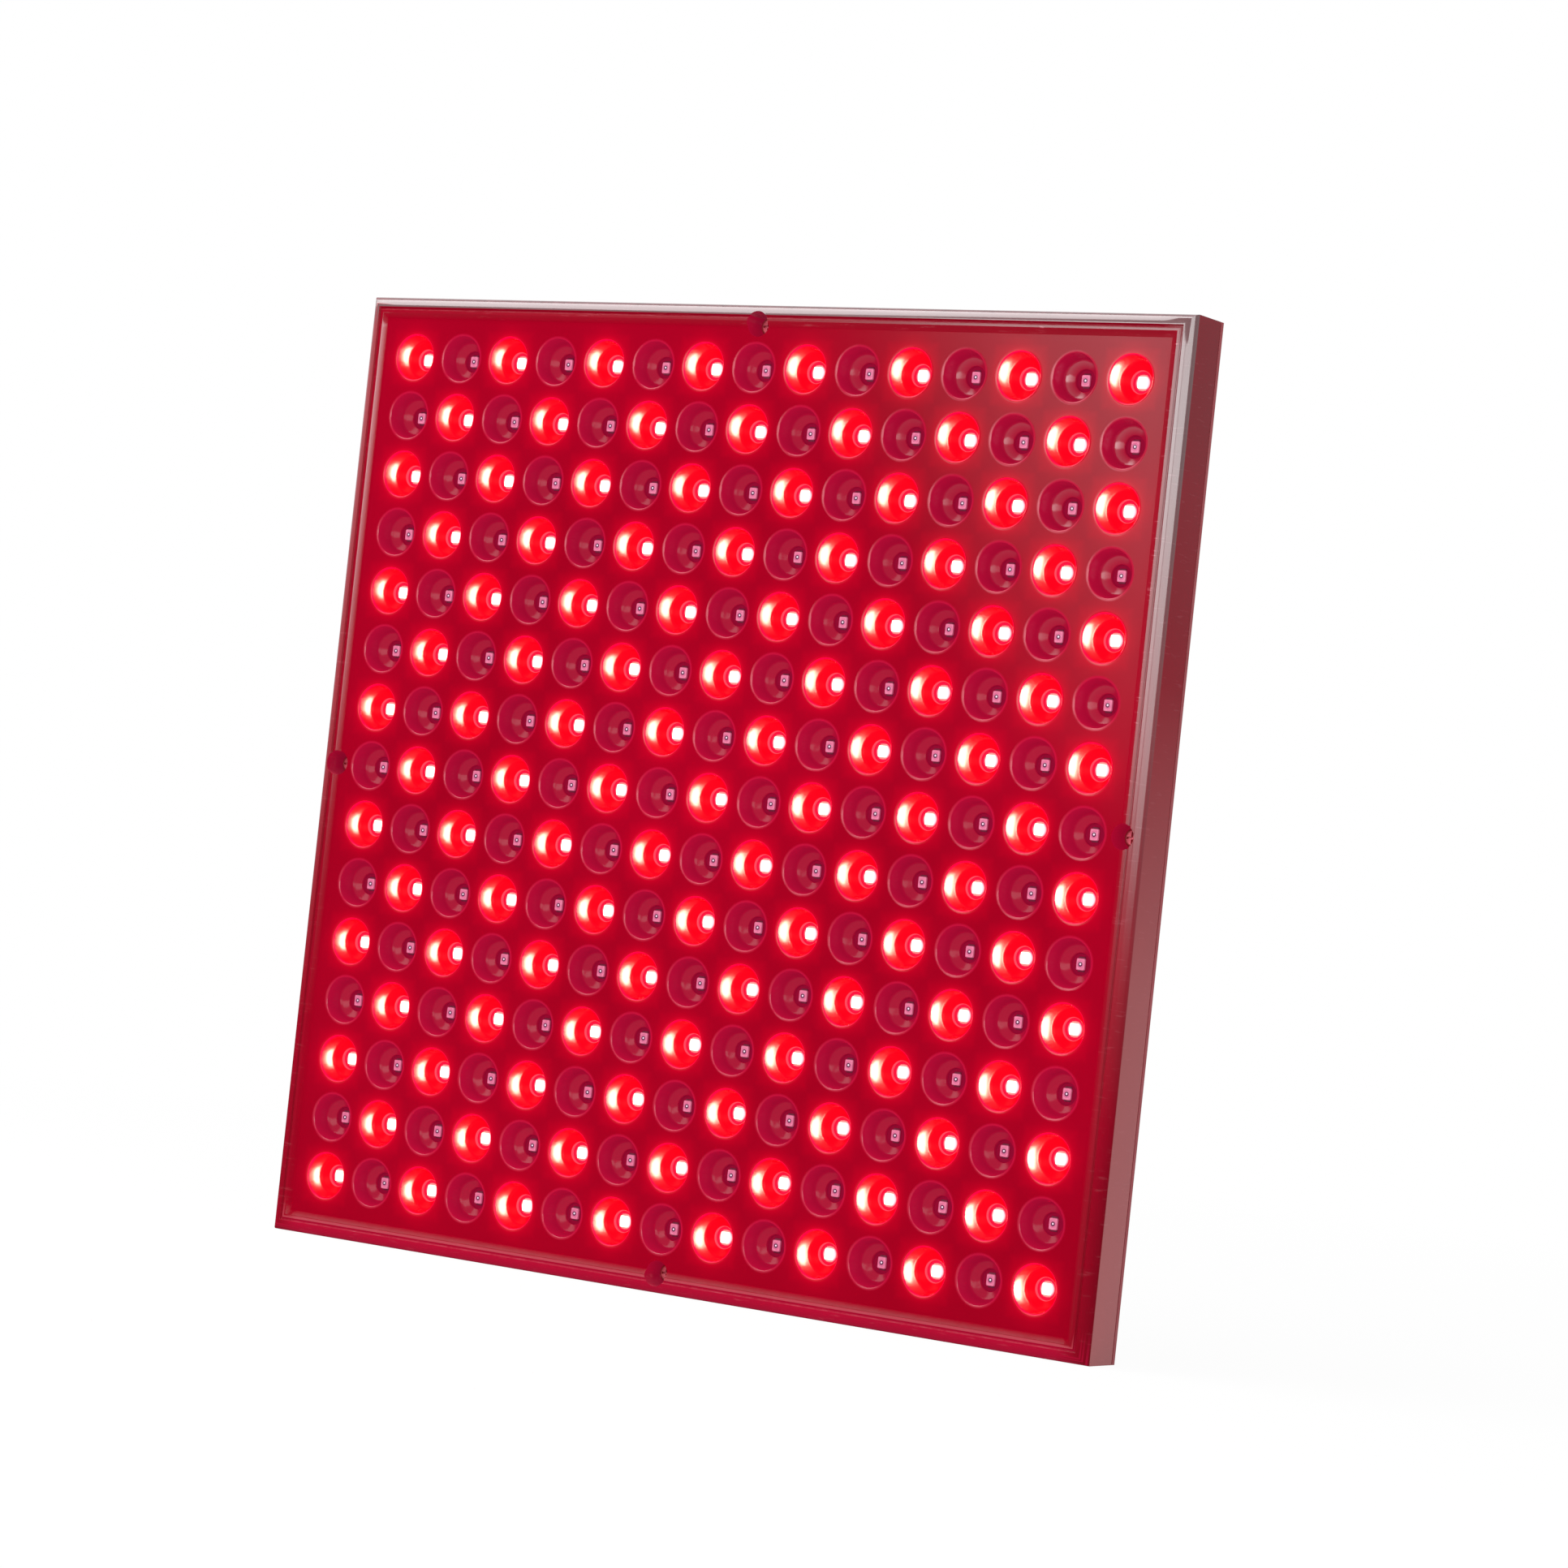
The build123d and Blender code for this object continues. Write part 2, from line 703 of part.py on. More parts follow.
inlet_screw = pan_screw(
    inlet_screw_head_radius, inlet_screw_head_height, inlet_screw_radius, inlet_screw_length
)
screws_at("inlet_screws", inlet_screw, inlet_screw_places, hump_back_y + inlet_flange_thickness, True)

with BuildPart() as inlet_nuts:
    with BuildSketch(facing(hump_inside_y)):
        with Locations(*inlet_screw_places):
            RegularPolygon(inlet_nut_radius, 6)
            Circle(inlet_screw_radius + screw_pilot_clearance, mode=Mode.SUBTRACT)
    extrude(amount=inlet_nut_thickness)
finish(inlet_nuts, "inlet_nuts")

# Rocker switch: housing with a well, and a rocker on two stub pins
switch_face_y = hump_back_y + inlet_flange_thickness
rocker_axis_y = switch_face_y - rocker_pivot_depth
with BuildPart() as switch_housing:
    with BuildSketch(facing(hump_back_y)):
        with Locations((switch_x, switch_z)):
            Rectangle(switch_flange_width, switch_flange_height)
    extrude(amount=-inlet_flange_thickness)
    with BuildSketch(facing(hump_back_y)):
        with Locations((switch_x, switch_z)):
            Rectangle(switch_body_width, switch_body_height)
    extrude(amount=inlet_body_depth)
    with BuildSketch(facing(switch_face_y)):
        with Locations((switch_x, switch_z)):
            Rectangle(switch_well_width, 2 * (rocker_reach + rocker_clearance))
    extrude(amount=switch_well_depth, mode=Mode.SUBTRACT)
    with BuildSketch(Plane.YZ.offset(switch_x - switch_body_width / 2)):
        with Locations((rocker_axis_y, middle_z + switch_z)):
            Circle(rocker_pin_radius + rocker_pin_clearance)
    extrude(amount=switch_body_width, mode=Mode.SUBTRACT)
finish(switch_housing, "switch_housing")

with BuildPart() as switch_blades:
    with BuildSketch(facing(inlet_end_y)):
        with Locations((switch_x, switch_z)):
            with GridLocations(switch_blade_pitch, switch_blade_pitch, 1, 2):
                Rectangle(blade_thickness, blade_width)
    extrude(amount=blade_length)
finish(switch_blades, "switch_blades")

rocker_half_width = switch_well_width / 2 - rocker_clearance
rocker_plane = Plane(
    origin=(switch_x - rocker_half_width, rocker_axis_y, middle_z + switch_z),
    x_dir=(0, -sin(radians(rocker_tilt)), cos(radians(rocker_tilt))),
    z_dir=(1, 0, 0),
)
with BuildPart() as switch_rocker:
    with BuildSketch(rocker_plane):
        Circle(rocker_reach)
        with BuildLine():
            Polyline(
                (-rocker_reach, rocker_keel),
                (-rocker_reach, -rocker_crown),
                (0, -rocker_dip),
                (rocker_reach, -rocker_crown),
                (rocker_reach, rocker_keel),
                close=True,
            )
        make_face(mode=Mode.INTERSECT)
    extrude(amount=2 * rocker_half_width)
    with BuildSketch(rocker_plane.offset(-rocker_pin_length)):
        Circle(rocker_pin_radius)
    extrude(amount=2 * rocker_half_width + 2 * rocker_pin_length)
finish(switch_rocker, "switch_rocker")

# Power supply
with BuildPart() as insulation_sheet:
    with BuildSketch(facing(board_back_y)):
        with Locations((driver_x, 0)):
            Rectangle(driver_width + 2 * insulation_margin, driver_height + 2 * insulation_margin)
    extrude(amount=-insulation_thickness)
finish(insulation_sheet, "insulation_sheet")

with BuildPart() as driver_board:
    with BuildSketch(facing(driver_back_y)):
        with Locations((driver_x, 0)):
            Rectangle(driver_width, driver_height)
        with Locations(*driver_boss_places):
            Circle(driver_screw_radius + board_screw_clearance, mode=Mode.SUBTRACT)
    extrude(amount=driver_thickness)
finish(driver_board, "driver_board")

driver_screw = pan_screw(
    driver_screw_head_radius, driver_screw_head_height, driver_screw_radius, driver_screw_length
)
screws_at("driver_screws", driver_screw, driver_boss_places, driver_front_y, False)


def on_driver(shares):
    """A place on the power supply's board from its shares, in drawing coordinates."""
    return (driver_x + shares[0] * driver_width / 2, shares[1] * driver_height / 2)


# Terminal blocks at the lower edge of the board, and the socket on the emitter board
input_x, input_z = on_driver(input_terminal_shares)
output_x, output_z = on_driver(output_terminal_shares)
for name, x in (("input_terminal", input_x), ("output_terminal", output_x)):
    with BuildPart() as terminal:
        with BuildSketch(facing(driver_front_y)):
            with Locations((x, input_z + terminal_height / 2)):
                Rectangle(terminal_width, terminal_height)
        extrude(amount=terminal_standoff)
        with BuildSketch(Plane.XY.offset(middle_z + input_z - cut)):
            with Locations((x - lead_pitch / 2, lead_y), (x + lead_pitch / 2, lead_y)):
                Circle(terminal_hole_radius)
        extrude(amount=terminal_hole_depth + cut, mode=Mode.SUBTRACT)
    finish(terminal, name)

with BuildPart() as board_socket:
    with BuildSketch(facing(board_back_y)):
        with Locations((output_x, -socket_drop)):
            Rectangle(socket_width, socket_height)
    extrude(amount=-socket_standoff)
    with BuildSketch(Plane.XY.offset(middle_z - socket_drop + socket_height / 2 + cut)):
        with Locations((output_x - lead_pitch / 2, lead_y), (output_x + lead_pitch / 2, lead_y)):
            Circle(terminal_hole_radius)
    extrude(amount=-terminal_hole_depth - cut, mode=Mode.SUBTRACT)
finish(board_socket, "board_socket")


def block(shares, width, height, standoff):
    """A plain body that stands on the power supply's board."""
    with BuildPart() as body:
        with BuildSketch(facing(driver_front_y)):
            with Locations(on_driver(shares)):
                Rectangle(width, height)
        extrude(amount=standoff)
        fillet(body.edges().filter_by(Axis.Y), block_corner_share * min(width, height))
    return body


finish(block(film_capacitor_shares, film_capacitor_width, film_capacitor_height, film_capacitor_standoff),
       "film_capacitor")
finish(block(bridge_shares, bridge_width, bridge_height, bridge_standoff), "bridge_rectifier")
finish(block(sink_shares, sink_thickness, sink_height, sink_standoff), "heat_sink")

with BuildPart() as power_transistor:
    sink_x, sink_z = on_driver(sink_shares)
    with BuildSketch(facing(driver_front_y)):
        with Locations((sink_x + sink_thickness / 2 + transistor_width / 2, sink_z - transistor_drop)):
            Rectangle(transistor_width, transistor_height)
    extrude(amount=transistor_standoff)
finish(power_transistor, "power_transistor")

# Transformer: a ferrite core with a window on each side, and the winding that fills the windows
core_x, core_z = on_driver(core_shares)
with BuildPart() as transformer_core:
    with BuildSketch(facing(driver_front_y)):
        with Locations((core_x, core_z)):
            Rectangle(core_width, core_height)
            with GridLocations(core_width / 2 + core_window, core_height, 2, 1):
                Rectangle(core_window, core_height - 2 * core_window, mode=Mode.SUBTRACT)
    extrude(amount=core_standoff)
finish(transformer_core, "transformer_core")
with BuildPart() as transformer_winding:
    with BuildSketch(facing(driver_front_y)):
        with Locations((core_x, core_z)):
            with GridLocations(core_width / 2 + core_window, core_height, 2, 1):
                Rectangle(
                    core_window - 2 * winding_wall, core_height - 2 * core_window - 2 * winding_wall
                )
    extrude(amount=core_standoff)
finish(transformer_winding, "transformer_winding")

# Line choke: a wound ring lying flat
with BuildPart() as line_choke:
    with BuildSketch(facing(driver_front_y)):
        with Locations(on_driver(choke_shares)):
            Circle(choke_radius)
            Circle(choke_bore_radius, mode=Mode.SUBTRACT)
    extrude(amount=choke_standoff)
    fillet(line_choke.faces().sort_by(Axis.Y)[0].edges(), choke_edge)
finish(line_choke, "line_choke")


def lying_can(place, radius, length, along_x):
    """A round can that lies on the power supply's board."""
    x, z = place
    start = (x - length / 2, driver_front_y - radius, middle_z + z)
    direction = (1, 0, 0)
    if not along_x:
        start = (x, driver_front_y - radius, middle_z + z - length / 2)
        direction = (0, 0, 1)
    with BuildPart() as can:
        with BuildSketch(Plane(origin=start, z_dir=direction)):
            Circle(radius)
        extrude(amount=length)
        chamfer(can.edges().filter_by(GeomType.CIRCLE), capacitor_edge)
    return can


finish(lying_can(on_driver(bulk_capacitor_shares), bulk_capacitor_radius, bulk_capacitor_length, True),
       "bulk_capacitor")
with BuildPart() as output_capacitors:
    for side in (-1, 1):
        out_x, out_z = on_driver(output_capacitor_shares)
        place = (out_x, out_z + side * output_capacitor_pitch / 2)
        add(lying_can(place, output_capacitor_radius, output_capacitor_length, True).part)
finish(output_capacitors, "output_capacitors")

# Fuse: a glass tube between two metal caps, along the board's edge
fuse_x, fuse_z = on_driver(fuse_shares)
fuse_y = driver_front_y - fuse_radius
with BuildPart() as fuse_tube:
    with BuildSketch(Plane.XY.offset(middle_z + fuse_z - fuse_length / 2 + fuse_cap_wall)):
        with Locations((fuse_x, fuse_y)):
            Circle(fuse_radius - fuse_cap_wall)
    extrude(amount=fuse_length - 2 * fuse_cap_wall)
finish(fuse_tube, "fuse_tube")
with BuildPart() as fuse_caps:
    for side in (-1, 1):
        cap_z = middle_z + fuse_z + side * (fuse_length / 2 - fuse_cap_length / 2)
        with BuildSketch(Plane.XY.offset(cap_z - fuse_cap_length / 2)):
            with Locations((fuse_x, fuse_y)):
                Circle(fuse_radius)
        extrude(amount=fuse_cap_length)
    add(fuse_tube.part, mode=Mode.SUBTRACT)
finish(fuse_caps, "fuse_caps")


def lead(points):
    """A lead along straight runs and tangent arcs in the leads' own plane, from drawing coordinates."""
    bends = []
    for before, here, after in zip(points, points[1:], points[2:]):
        run_in = Vector(*here) - Vector(*before)
        run_out = Vector(*after) - Vector(*here)
        turn = radians(run_in.get_angle(run_out))
        shorter = min(run_in.length, run_out.length)
        bends.append(min(lead_bend, lead_bend_share * shorter / tan(turn / 2)))
    start = Vector(*points[1]) - Vector(*points[0])
    with BuildPart() as wire:
        with BuildLine(facing(lead_y)):
            FilletPolyline(*points, radius=bends)
        with BuildSketch(
            Plane(
                origin=(points[0][0], lead_y, middle_z + points[0][1]),
                x_dir=(0, 1, 0),
                z_dir=(start.X, 0, start.Y),
            )
        ):
            Circle(lead_radius)
        sweep()
    print("lead bends", [round(bend, 1) for bend in bends])
    return wire.part


inlet_top_z = inlet_z + blade_thickness / 2
left_pin_x = inlet_x - inlet_pin_pitch / 2
right_pin_x = inlet_x + inlet_pin_pitch / 2
upper_blade_z = switch_z + switch_blade_pitch / 2
lower_blade_z = switch_z - switch_blade_pitch / 2
terminal_end_z = input_z + lead_insert
between_x = (switch_x + left_pin_x) / 2
switch_side_x = switch_x - inlet_pin_pitch * 2
turn_z = inlet_z + (input_z - inlet_z) / 3
high_turn_z = inlet_z + 2 * (input_z - inlet_z) / 3
with BuildPart() as mains_leads:
    add(lead([
        (left_pin_x, inlet_top_z),
        (left_pin_x, turn_z),
        (between_x, turn_z),
        (between_x, upper_blade_z),
        (switch_x + blade_thickness / 2, upper_blade_z),
    ]))
    add(lead([
        (switch_x - blade_thickness / 2, lower_blade_z),
        (switch_side_x, lower_blade_z),
        (switch_side_x, high_turn_z - lead_pitch),
        (input_x - lead_pitch / 2, high_turn_z),
        (input_x - lead_pitch / 2, terminal_end_z),
    ]))
    add(lead([
        (right_pin_x, inlet_top_z),
        (right_pin_x, high_turn_z - lead_pitch),
        (input_x + lead_pitch / 2, high_turn_z),
        (input_x + lead_pitch / 2, terminal_end_z),
    ]))
finish(mains_leads, "mains_leads")

socket_end_z = -socket_drop + socket_height / 2 - lead_insert
with BuildPart() as output_leads:
    for side in (-1, 1):
        lead_x = output_x + side * lead_pitch / 2
        lead_run = terminal_end_z - socket_end_z
        add(lead([
            (lead_x, terminal_end_z),
            (lead_x, terminal_end_z - lead_run / 4),
            (lead_x - lead_pitch, terminal_end_z - lead_run / 2),
            (lead_x, terminal_end_z - 3 * lead_run / 4),
            (lead_x, socket_end_z),
        ]))
finish(output_leads, "output_leads")
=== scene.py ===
# %% [markdown]
# A red light therapy panel, dressed for the camera
#
# The construction of this panel, its pieces and its joints, was modelled elsewhere and is loaded here
# as a fixed frame. This script gives every piece the finish that it has on the real object. Some pieces
# keep their mesh and only get a material. Others, such as the front moulding with its reflector cups,
# are built again as finer meshes, so that the light runs over them as it does over moulded plastic.
# All lengths are in metres, the front faces -Y, and +Z is up.

# %% Load the frame
import math

import bmesh
import bpy
import numpy as np
from mathutils import Matrix, Vector


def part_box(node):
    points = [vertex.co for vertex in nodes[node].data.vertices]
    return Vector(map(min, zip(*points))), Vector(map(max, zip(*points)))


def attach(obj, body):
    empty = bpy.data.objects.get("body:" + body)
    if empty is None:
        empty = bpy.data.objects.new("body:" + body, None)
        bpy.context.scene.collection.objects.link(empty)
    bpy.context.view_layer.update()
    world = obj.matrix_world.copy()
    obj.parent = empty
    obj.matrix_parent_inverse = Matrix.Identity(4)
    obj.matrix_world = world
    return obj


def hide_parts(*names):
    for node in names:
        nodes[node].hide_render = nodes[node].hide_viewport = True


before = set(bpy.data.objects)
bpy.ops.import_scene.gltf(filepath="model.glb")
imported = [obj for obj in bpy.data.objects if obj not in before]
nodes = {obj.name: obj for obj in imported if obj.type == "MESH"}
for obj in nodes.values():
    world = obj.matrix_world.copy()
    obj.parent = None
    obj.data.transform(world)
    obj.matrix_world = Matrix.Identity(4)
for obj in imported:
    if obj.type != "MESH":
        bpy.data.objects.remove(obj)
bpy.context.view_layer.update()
MM = 0.001

# %% [markdown]
# The camera
#
# A photograph of a panel is easiest to match when the camera is placed by a point that it looks at, a
# distance and three angles, because each of them changes one thing in the picture. The panel is seen from
# its right side and a touch from below, with a long lens, and the camera is rolled so that the panel leans.
# Photographs of such panels are rarely one clean perspective, so the angles here fit the outline and the
# grid of cups first.

# %% Place the camera
photo_size = 1932
focal_pixels = 5588
sensor_width = 36.0
aim_point = Vector((15.7, 10.3, 161.9)) * MM
camera_distance = 1420.0 * MM
camera_azimuth = math.radians(33.70)
camera_elevation = math.radians(-1.32)
camera_roll = math.radians(-6.12)


def into_scene(name, data):
    """A new object of the scene that holds a mesh, a lamp or a camera."""
    made = bpy.data.objects.new(name, data)
    bpy.context.scene.collection.objects.link(made)
    return made


def away_from_panel(azimuth, elevation, distance):
    """The step from the panel to a place: azimuth 0 is in front of it, and 90 degrees is at its right."""
    level = distance * math.cos(elevation)
    return Vector((level * math.sin(azimuth), -level * math.cos(azimuth), distance * math.sin(elevation)))


camera_data = bpy.data.cameras.new("camera")
camera_data.sensor_fit = "HORIZONTAL"
camera_data.sensor_width = sensor_width
camera_data.lens = focal_pixels / photo_size * sensor_width
camera = into_scene("camera", camera_data)
offset = away_from_panel(camera_azimuth, camera_elevation, camera_distance)
look = (-offset).to_track_quat("-Z", "Y").to_matrix().to_4x4()
camera.matrix_world = Matrix.Translation(aim_point + offset) @ look @ Matrix.Rotation(-camera_roll, 4, "Z")
bpy.context.scene.camera = camera
bpy.context.scene.view_settings.view_transform = "Standard"
print("camera at", tuple(round(v, 4) for v in camera.location), "lens", round(camera_data.lens, 2))

# %% [markdown]
# The sizes that the finer pieces need
#
# Whatever can be read from the frame is read from it, so that the finer pieces land exactly on the pieces
# that they stand for. The rest are the few sizes that a box can't tell, such as the radius of a cup's mouth.

# %% Sizes from the frame
shell_low, shell_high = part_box("front_shell")
board_low, board_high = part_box("emitter_board")
window_low, window_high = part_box("red_emitter_windows")
package_low, package_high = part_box("red_emitter_packages")

cups_each_way = 15
window_radius = 1.2 * MM
cup_pitch = (window_high.x - window_low.x - 2 * window_radius) / (cups_each_way - 1)
half_side = shell_high.x
middle_z = (shell_low.z + shell_high.z) / 2
front_y = shell_low.y
rear_y = shell_high.y
board_y = board_low.y
rim_height = 1.0 * MM
face_y = front_y + rim_height
plate_back_y = face_y + 2.0 * MM
grid_edge = cups_each_way * cup_pitch / 2
print("cup pitch", round(cup_pitch / MM, 3), "mm, cup depth", round((board_y - face_y) / MM, 3), "mm")

# %% Sizes of the moulding's details
mouth_radius = 7.4 * MM
mouth_lip = 0.35 * MM
neck_radius = 3.5 * MM
neck_depth = 1.0 * MM
cup_wall = 1.2 * MM
bowl_floor_radius = 6.3 * MM
bowl_floor_rise = 1.15 * MM
bowl_turn_radius = 1.7 * MM
rim_width = 7.2 * MM
bead_radius = 3.2 * MM
well_radius = 4.0 * MM
well_wall = 1.2 * MM
well_inset = 6.2 * MM
well_floor = 2.0 * MM
well_screw_hole = 1.75 * MM
side_wall = 2.0 * MM
well_steps = 48
round_steps = 40
wide_arc = 2.0 * MM
weld_distance = 0.002 * MM
print(round_steps, "points round a cup and", well_steps, "round a well")

# %% [markdown]
# Small helpers
#
# Almost every piece here is a stack of rings, so one function turns a list of rings into faces. It works on
# plain arrays, because a few hundred cups would take bmesh operators a long time. A second function makes
# the object, and a third copies one small mesh to many places and joins the copies.

# %% Helpers for meshes
def circle(radius, y):
    """Points of a circle round the Y axis, at depth y."""
    turn = 2 * math.pi * np.arange(round_steps) / round_steps
    return np.stack([radius * np.cos(turn), np.full(round_steps, y), radius * np.sin(turn)], 1)


def squared(half_width, half_height, y, corner=0.0):
    """Points of a rectangle with round corners at the same angles as a circle's points."""
    turn = 2 * math.pi * np.arange(round_steps) / round_steps
    across, up = np.cos(turn), np.sin(turn)
    reach = 1 / np.maximum(np.abs(across) / half_width, np.abs(up) / half_height)
    x, z = across * reach, up * reach
    if corner > 0:
        inner_x, inner_z = half_width - corner, half_height - corner
        over_x, over_z = np.abs(x) - inner_x, np.abs(z) - inner_z
        round_here = (over_x > 0) & (over_z > 0)
        length = np.where(round_here, np.hypot(over_x, over_z), 1)
        x = np.where(round_here, np.sign(x) * (inner_x + corner * over_x / length), x)
        z = np.where(round_here, np.sign(z) * (inner_z + corner * over_z / length), z)
    return np.stack([x, np.full(round_steps, y), z], 1)


def stack(rings, close_end=False):
    """Points and four-sided faces of a stack of rings. They face the front where the rings go inwards."""
    faces = []
    last = (len(rings) - 1) * round_steps
    for start in range(0, last, round_steps):
        for step in range(round_steps):
            here, after = start + step, start + (step + 1) % round_steps
            faces.append((here, after, after + round_steps, here + round_steps))
    if close_end:
        faces.append(tuple(range(last, last + round_steps)))
    return np.concatenate(rings), faces


def mesh_object(name, vertices, faces, sharp_angle=40):
    """A new object with smooth faces and sharp edges where they turn by more than the angle."""
    mesh = bpy.data.meshes.new(name)
    mesh.from_pydata([tuple(v) for v in vertices], [], faces)
    mesh.update()
    mesh.shade_smooth()
    mesh.set_sharp_from_angle(angle=math.radians(sharp_angle))
    return into_scene(name, mesh)


def repeat(vertices, faces, places):
    """The same small mesh at every place, as one list of points and one of faces."""
    vertices = np.asarray(vertices)
    count = len(vertices)
    all_vertices = (np.asarray(places)[:, None, :] + vertices[None, :, :]).reshape(-1, 3)
    all_faces = []
    for copy in range(len(places)):
        all_faces.extend(tuple(index + copy * count for index in face) for face in faces)
    return all_vertices, all_faces


def rounded(corners, steps=4):
    """A line through corners (across, y, radius) with each corner turned into an arc."""
    line = [Vector(corners[0][:2])]
    for before, here, after in zip(corners, corners[1:], corners[2:]):
        point, radius = Vector(here[:2]), here[2]
        if radius == 0:
            line.append(point)
            continue
        arc_steps = 3 * steps if radius > wide_arc else steps
        to_before = (Vector(before[:2]) - point).normalized()
        to_after = (Vector(after[:2]) - point).normalized()
        half = to_before.angle(to_after) / 2
        tangent = radius / math.tan(half)
        centre = point + (to_before + to_after).normalized() * radius / math.sin(half)
        start = (point + to_before * tangent - centre).normalized()
        end = (point + to_after * tangent - centre).normalized()
        for step in range(arc_steps + 1):
            line.append(centre + radius * start.slerp(end, step / arc_steps))
    line.append(Vector(corners[-1][:2]))
    return line


def cup_places(parity):
    """Centres of the cups whose column and row add up to an even (0) or odd (1) number."""
    middle = (cups_each_way - 1) / 2
    places = []
    for row in range(cups_each_way):
        for column in range(cups_each_way):
            if (row + column) % 2 == parity:
                places.append((cup_pitch * (column - middle), 0.0, middle_z + cup_pitch * (middle - row)))
    return np.array(places)


lit_places = cup_places(0)
dark_places = cup_places(1)
print(len(lit_places), "lit cups and", len(dark_places), "dark ones")

# %% [markdown]
# The front moulding: cups
#
# The front is one plastic moulding: a plate with fifteen rows of fifteen reflector cups inside a raised
# rim. Under a small round lip each cup is a steep cone, then it turns quickly into a shallow cone that ends
# at a hole, where the emitter sits. Subtracting cups from a plate would leave long thin faces that shade
# badly. So the plate is made of square cells, each one a stack of rings that goes from the cell's edge, over
# the lip, down the bowl and the hole, and back up the outside of the cup. The cells share their edge points,
# so they weld into a plate.

# %% One cell of the plate
half_pitch = cup_pitch / 2
neck_y = board_y - neck_depth
neck_bevel = 0.06 * MM


def lip_rings(steps=3):
    """Radius and depth of the rings over the lip, from the face to the bowl."""
    turns = [math.pi / 2 * step / steps for step in range(steps + 1)]
    return [(mouth_radius + mouth_lip * (1 - math.sin(turn)), face_y + mouth_lip * (1 - math.cos(turn)))
            for turn in turns]


def bowl_rings(wall_steps=5, turn_steps=6):
    """Radius and depth of the bowl's rings: a steep cone, a quick turn and a shallow cone to the neck."""
    line = rounded([(mouth_radius, face_y + mouth_lip),
                    (bowl_floor_radius, neck_y - bowl_floor_rise, bowl_turn_radius),
                    (neck_radius, neck_y)], turn_steps)
    wall_shares = [0.04] + [step / wall_steps for step in range(1, wall_steps)]
    wall = [line[0].lerp(line[1], share) for share in wall_shares]
    floor = [line[-2].lerp(line[-1], share) for share in (0.5, 0.92)]
    return [tuple(point) for point in wall + line[1:-1] + floor + line[-1:]]


hole_rings = [(neck_radius - neck_bevel, neck_y + 2 * neck_bevel), (neck_radius - neck_bevel, board_y)]
outside_rings = [(neck_radius + cup_wall, board_y)]
turn_and_wall = bowl_rings(wall_steps=2, turn_steps=3)[:-3]
for radius, y in reversed(turn_and_wall):
    outside_rings.append((radius + cup_wall, min(y + 0.8 * cup_wall, board_y)))
outside_rings.append((mouth_radius + cup_wall, plate_back_y))

face_rings = [squared(half_pitch, half_pitch, face_y)]
face_rings += [circle(mouth_radius + reach * MM, face_y) for reach in (1.7, 1.0)]
cup_rings = [circle(*ring) for ring in lip_rings() + bowl_rings() + hole_rings]
back_rings = [circle(*ring) for ring in outside_rings] + [squared(half_pitch, half_pitch, plate_back_y)]
cell_vertices, cell_faces = stack(face_rings + cup_rings + back_rings)
print("a cell has", len(cell_vertices) // round_steps, "rings and", len(cell_faces), "faces")

# %% [markdown]
# The front moulding: rim
#
# The rim is the same section all the way round: a foot at the recessed face, a slope, a shoulder, a shallow
# groove and a round bead, then the side wall, a small chamfer at the back and the inside of the wall. It is
# swept round the square with mitred corners. Along each side it has the same points as the edge of the
# plate of cups, so the two weld without a seam.

# %% The rim's section and its loops
margin = half_side - grid_edge
rim_corners = [
    (margin, face_y, 0),
    (rim_width, face_y, 0.35 * MM),
    (5.4 * MM, front_y, 0.6 * MM),
    (4.45 * MM, front_y, 0.2 * MM),
    (4.1 * MM, front_y + 0.45 * MM, 0.15 * MM),
    (3.8 * MM, front_y + 0.45 * MM, 0.15 * MM),
    (3.45 * MM, front_y, 0.15 * MM),
    (0.0, front_y, bead_radius),
    (0.0, rear_y - 0.4 * MM, 0),
    (0.4 * MM, rear_y, 0),
    (side_wall, rear_y, 0),
    (side_wall, plate_back_y, 0),
    (margin, plate_back_y, 0),
]
rim_section = rounded(rim_corners)

edge_steps = round_steps // 4
edge_turns = [math.tan(math.radians(90 / edge_steps * step - 45)) for step in range(edge_steps)]
along = np.array([cup_pitch * (cup - (cups_each_way - 1) / 2) + half_pitch * turn
                  for cup in range(cups_each_way) for turn in edge_turns] + [grid_edge])


def rim_loop(inset, y):
    """One loop round the square at this inset from the outer edge."""
    half = half_side - inset
    level = np.full(len(along), half)
    bottom = np.stack([along, -level], 1)
    right = np.stack([level, along], 1)
    top = np.stack([-along, level], 1)
    left = np.stack([-level, -along], 1)
    corners = half * np.array([[1, -1], [1, 1], [-1, 1], [-1, -1]])
    flat = np.concatenate([bottom, corners[:1], right, corners[1:2], top, corners[2:3], left, corners[3:]])
    return np.stack([flat[:, 0], np.full(len(flat), y), middle_z + flat[:, 1]], 1)


rim_loops = [rim_loop(point.x, point.y) for point in rim_section]
loop_size = len(rim_loops[0])
rim_faces = []
for ring in range(len(rim_loops)):
    following = (ring + 1) % len(rim_loops)
    for step in range(loop_size):
        after = (step + 1) % loop_size
        rim_faces.append((ring * loop_size + step, following * loop_size + step,
                          following * loop_size + after, ring * loop_size + after))
rim = mesh_object("rim", np.concatenate(rim_loops), rim_faces)
shape = bmesh.new()
shape.from_mesh(rim.data)
bmesh.ops.remove_doubles(shape, verts=shape.verts, dist=weld_distance)
shape.to_mesh(rim.data)
shape.free()
print("the rim has", len(rim_loops), "loops and", len(rim_faces), "faces")

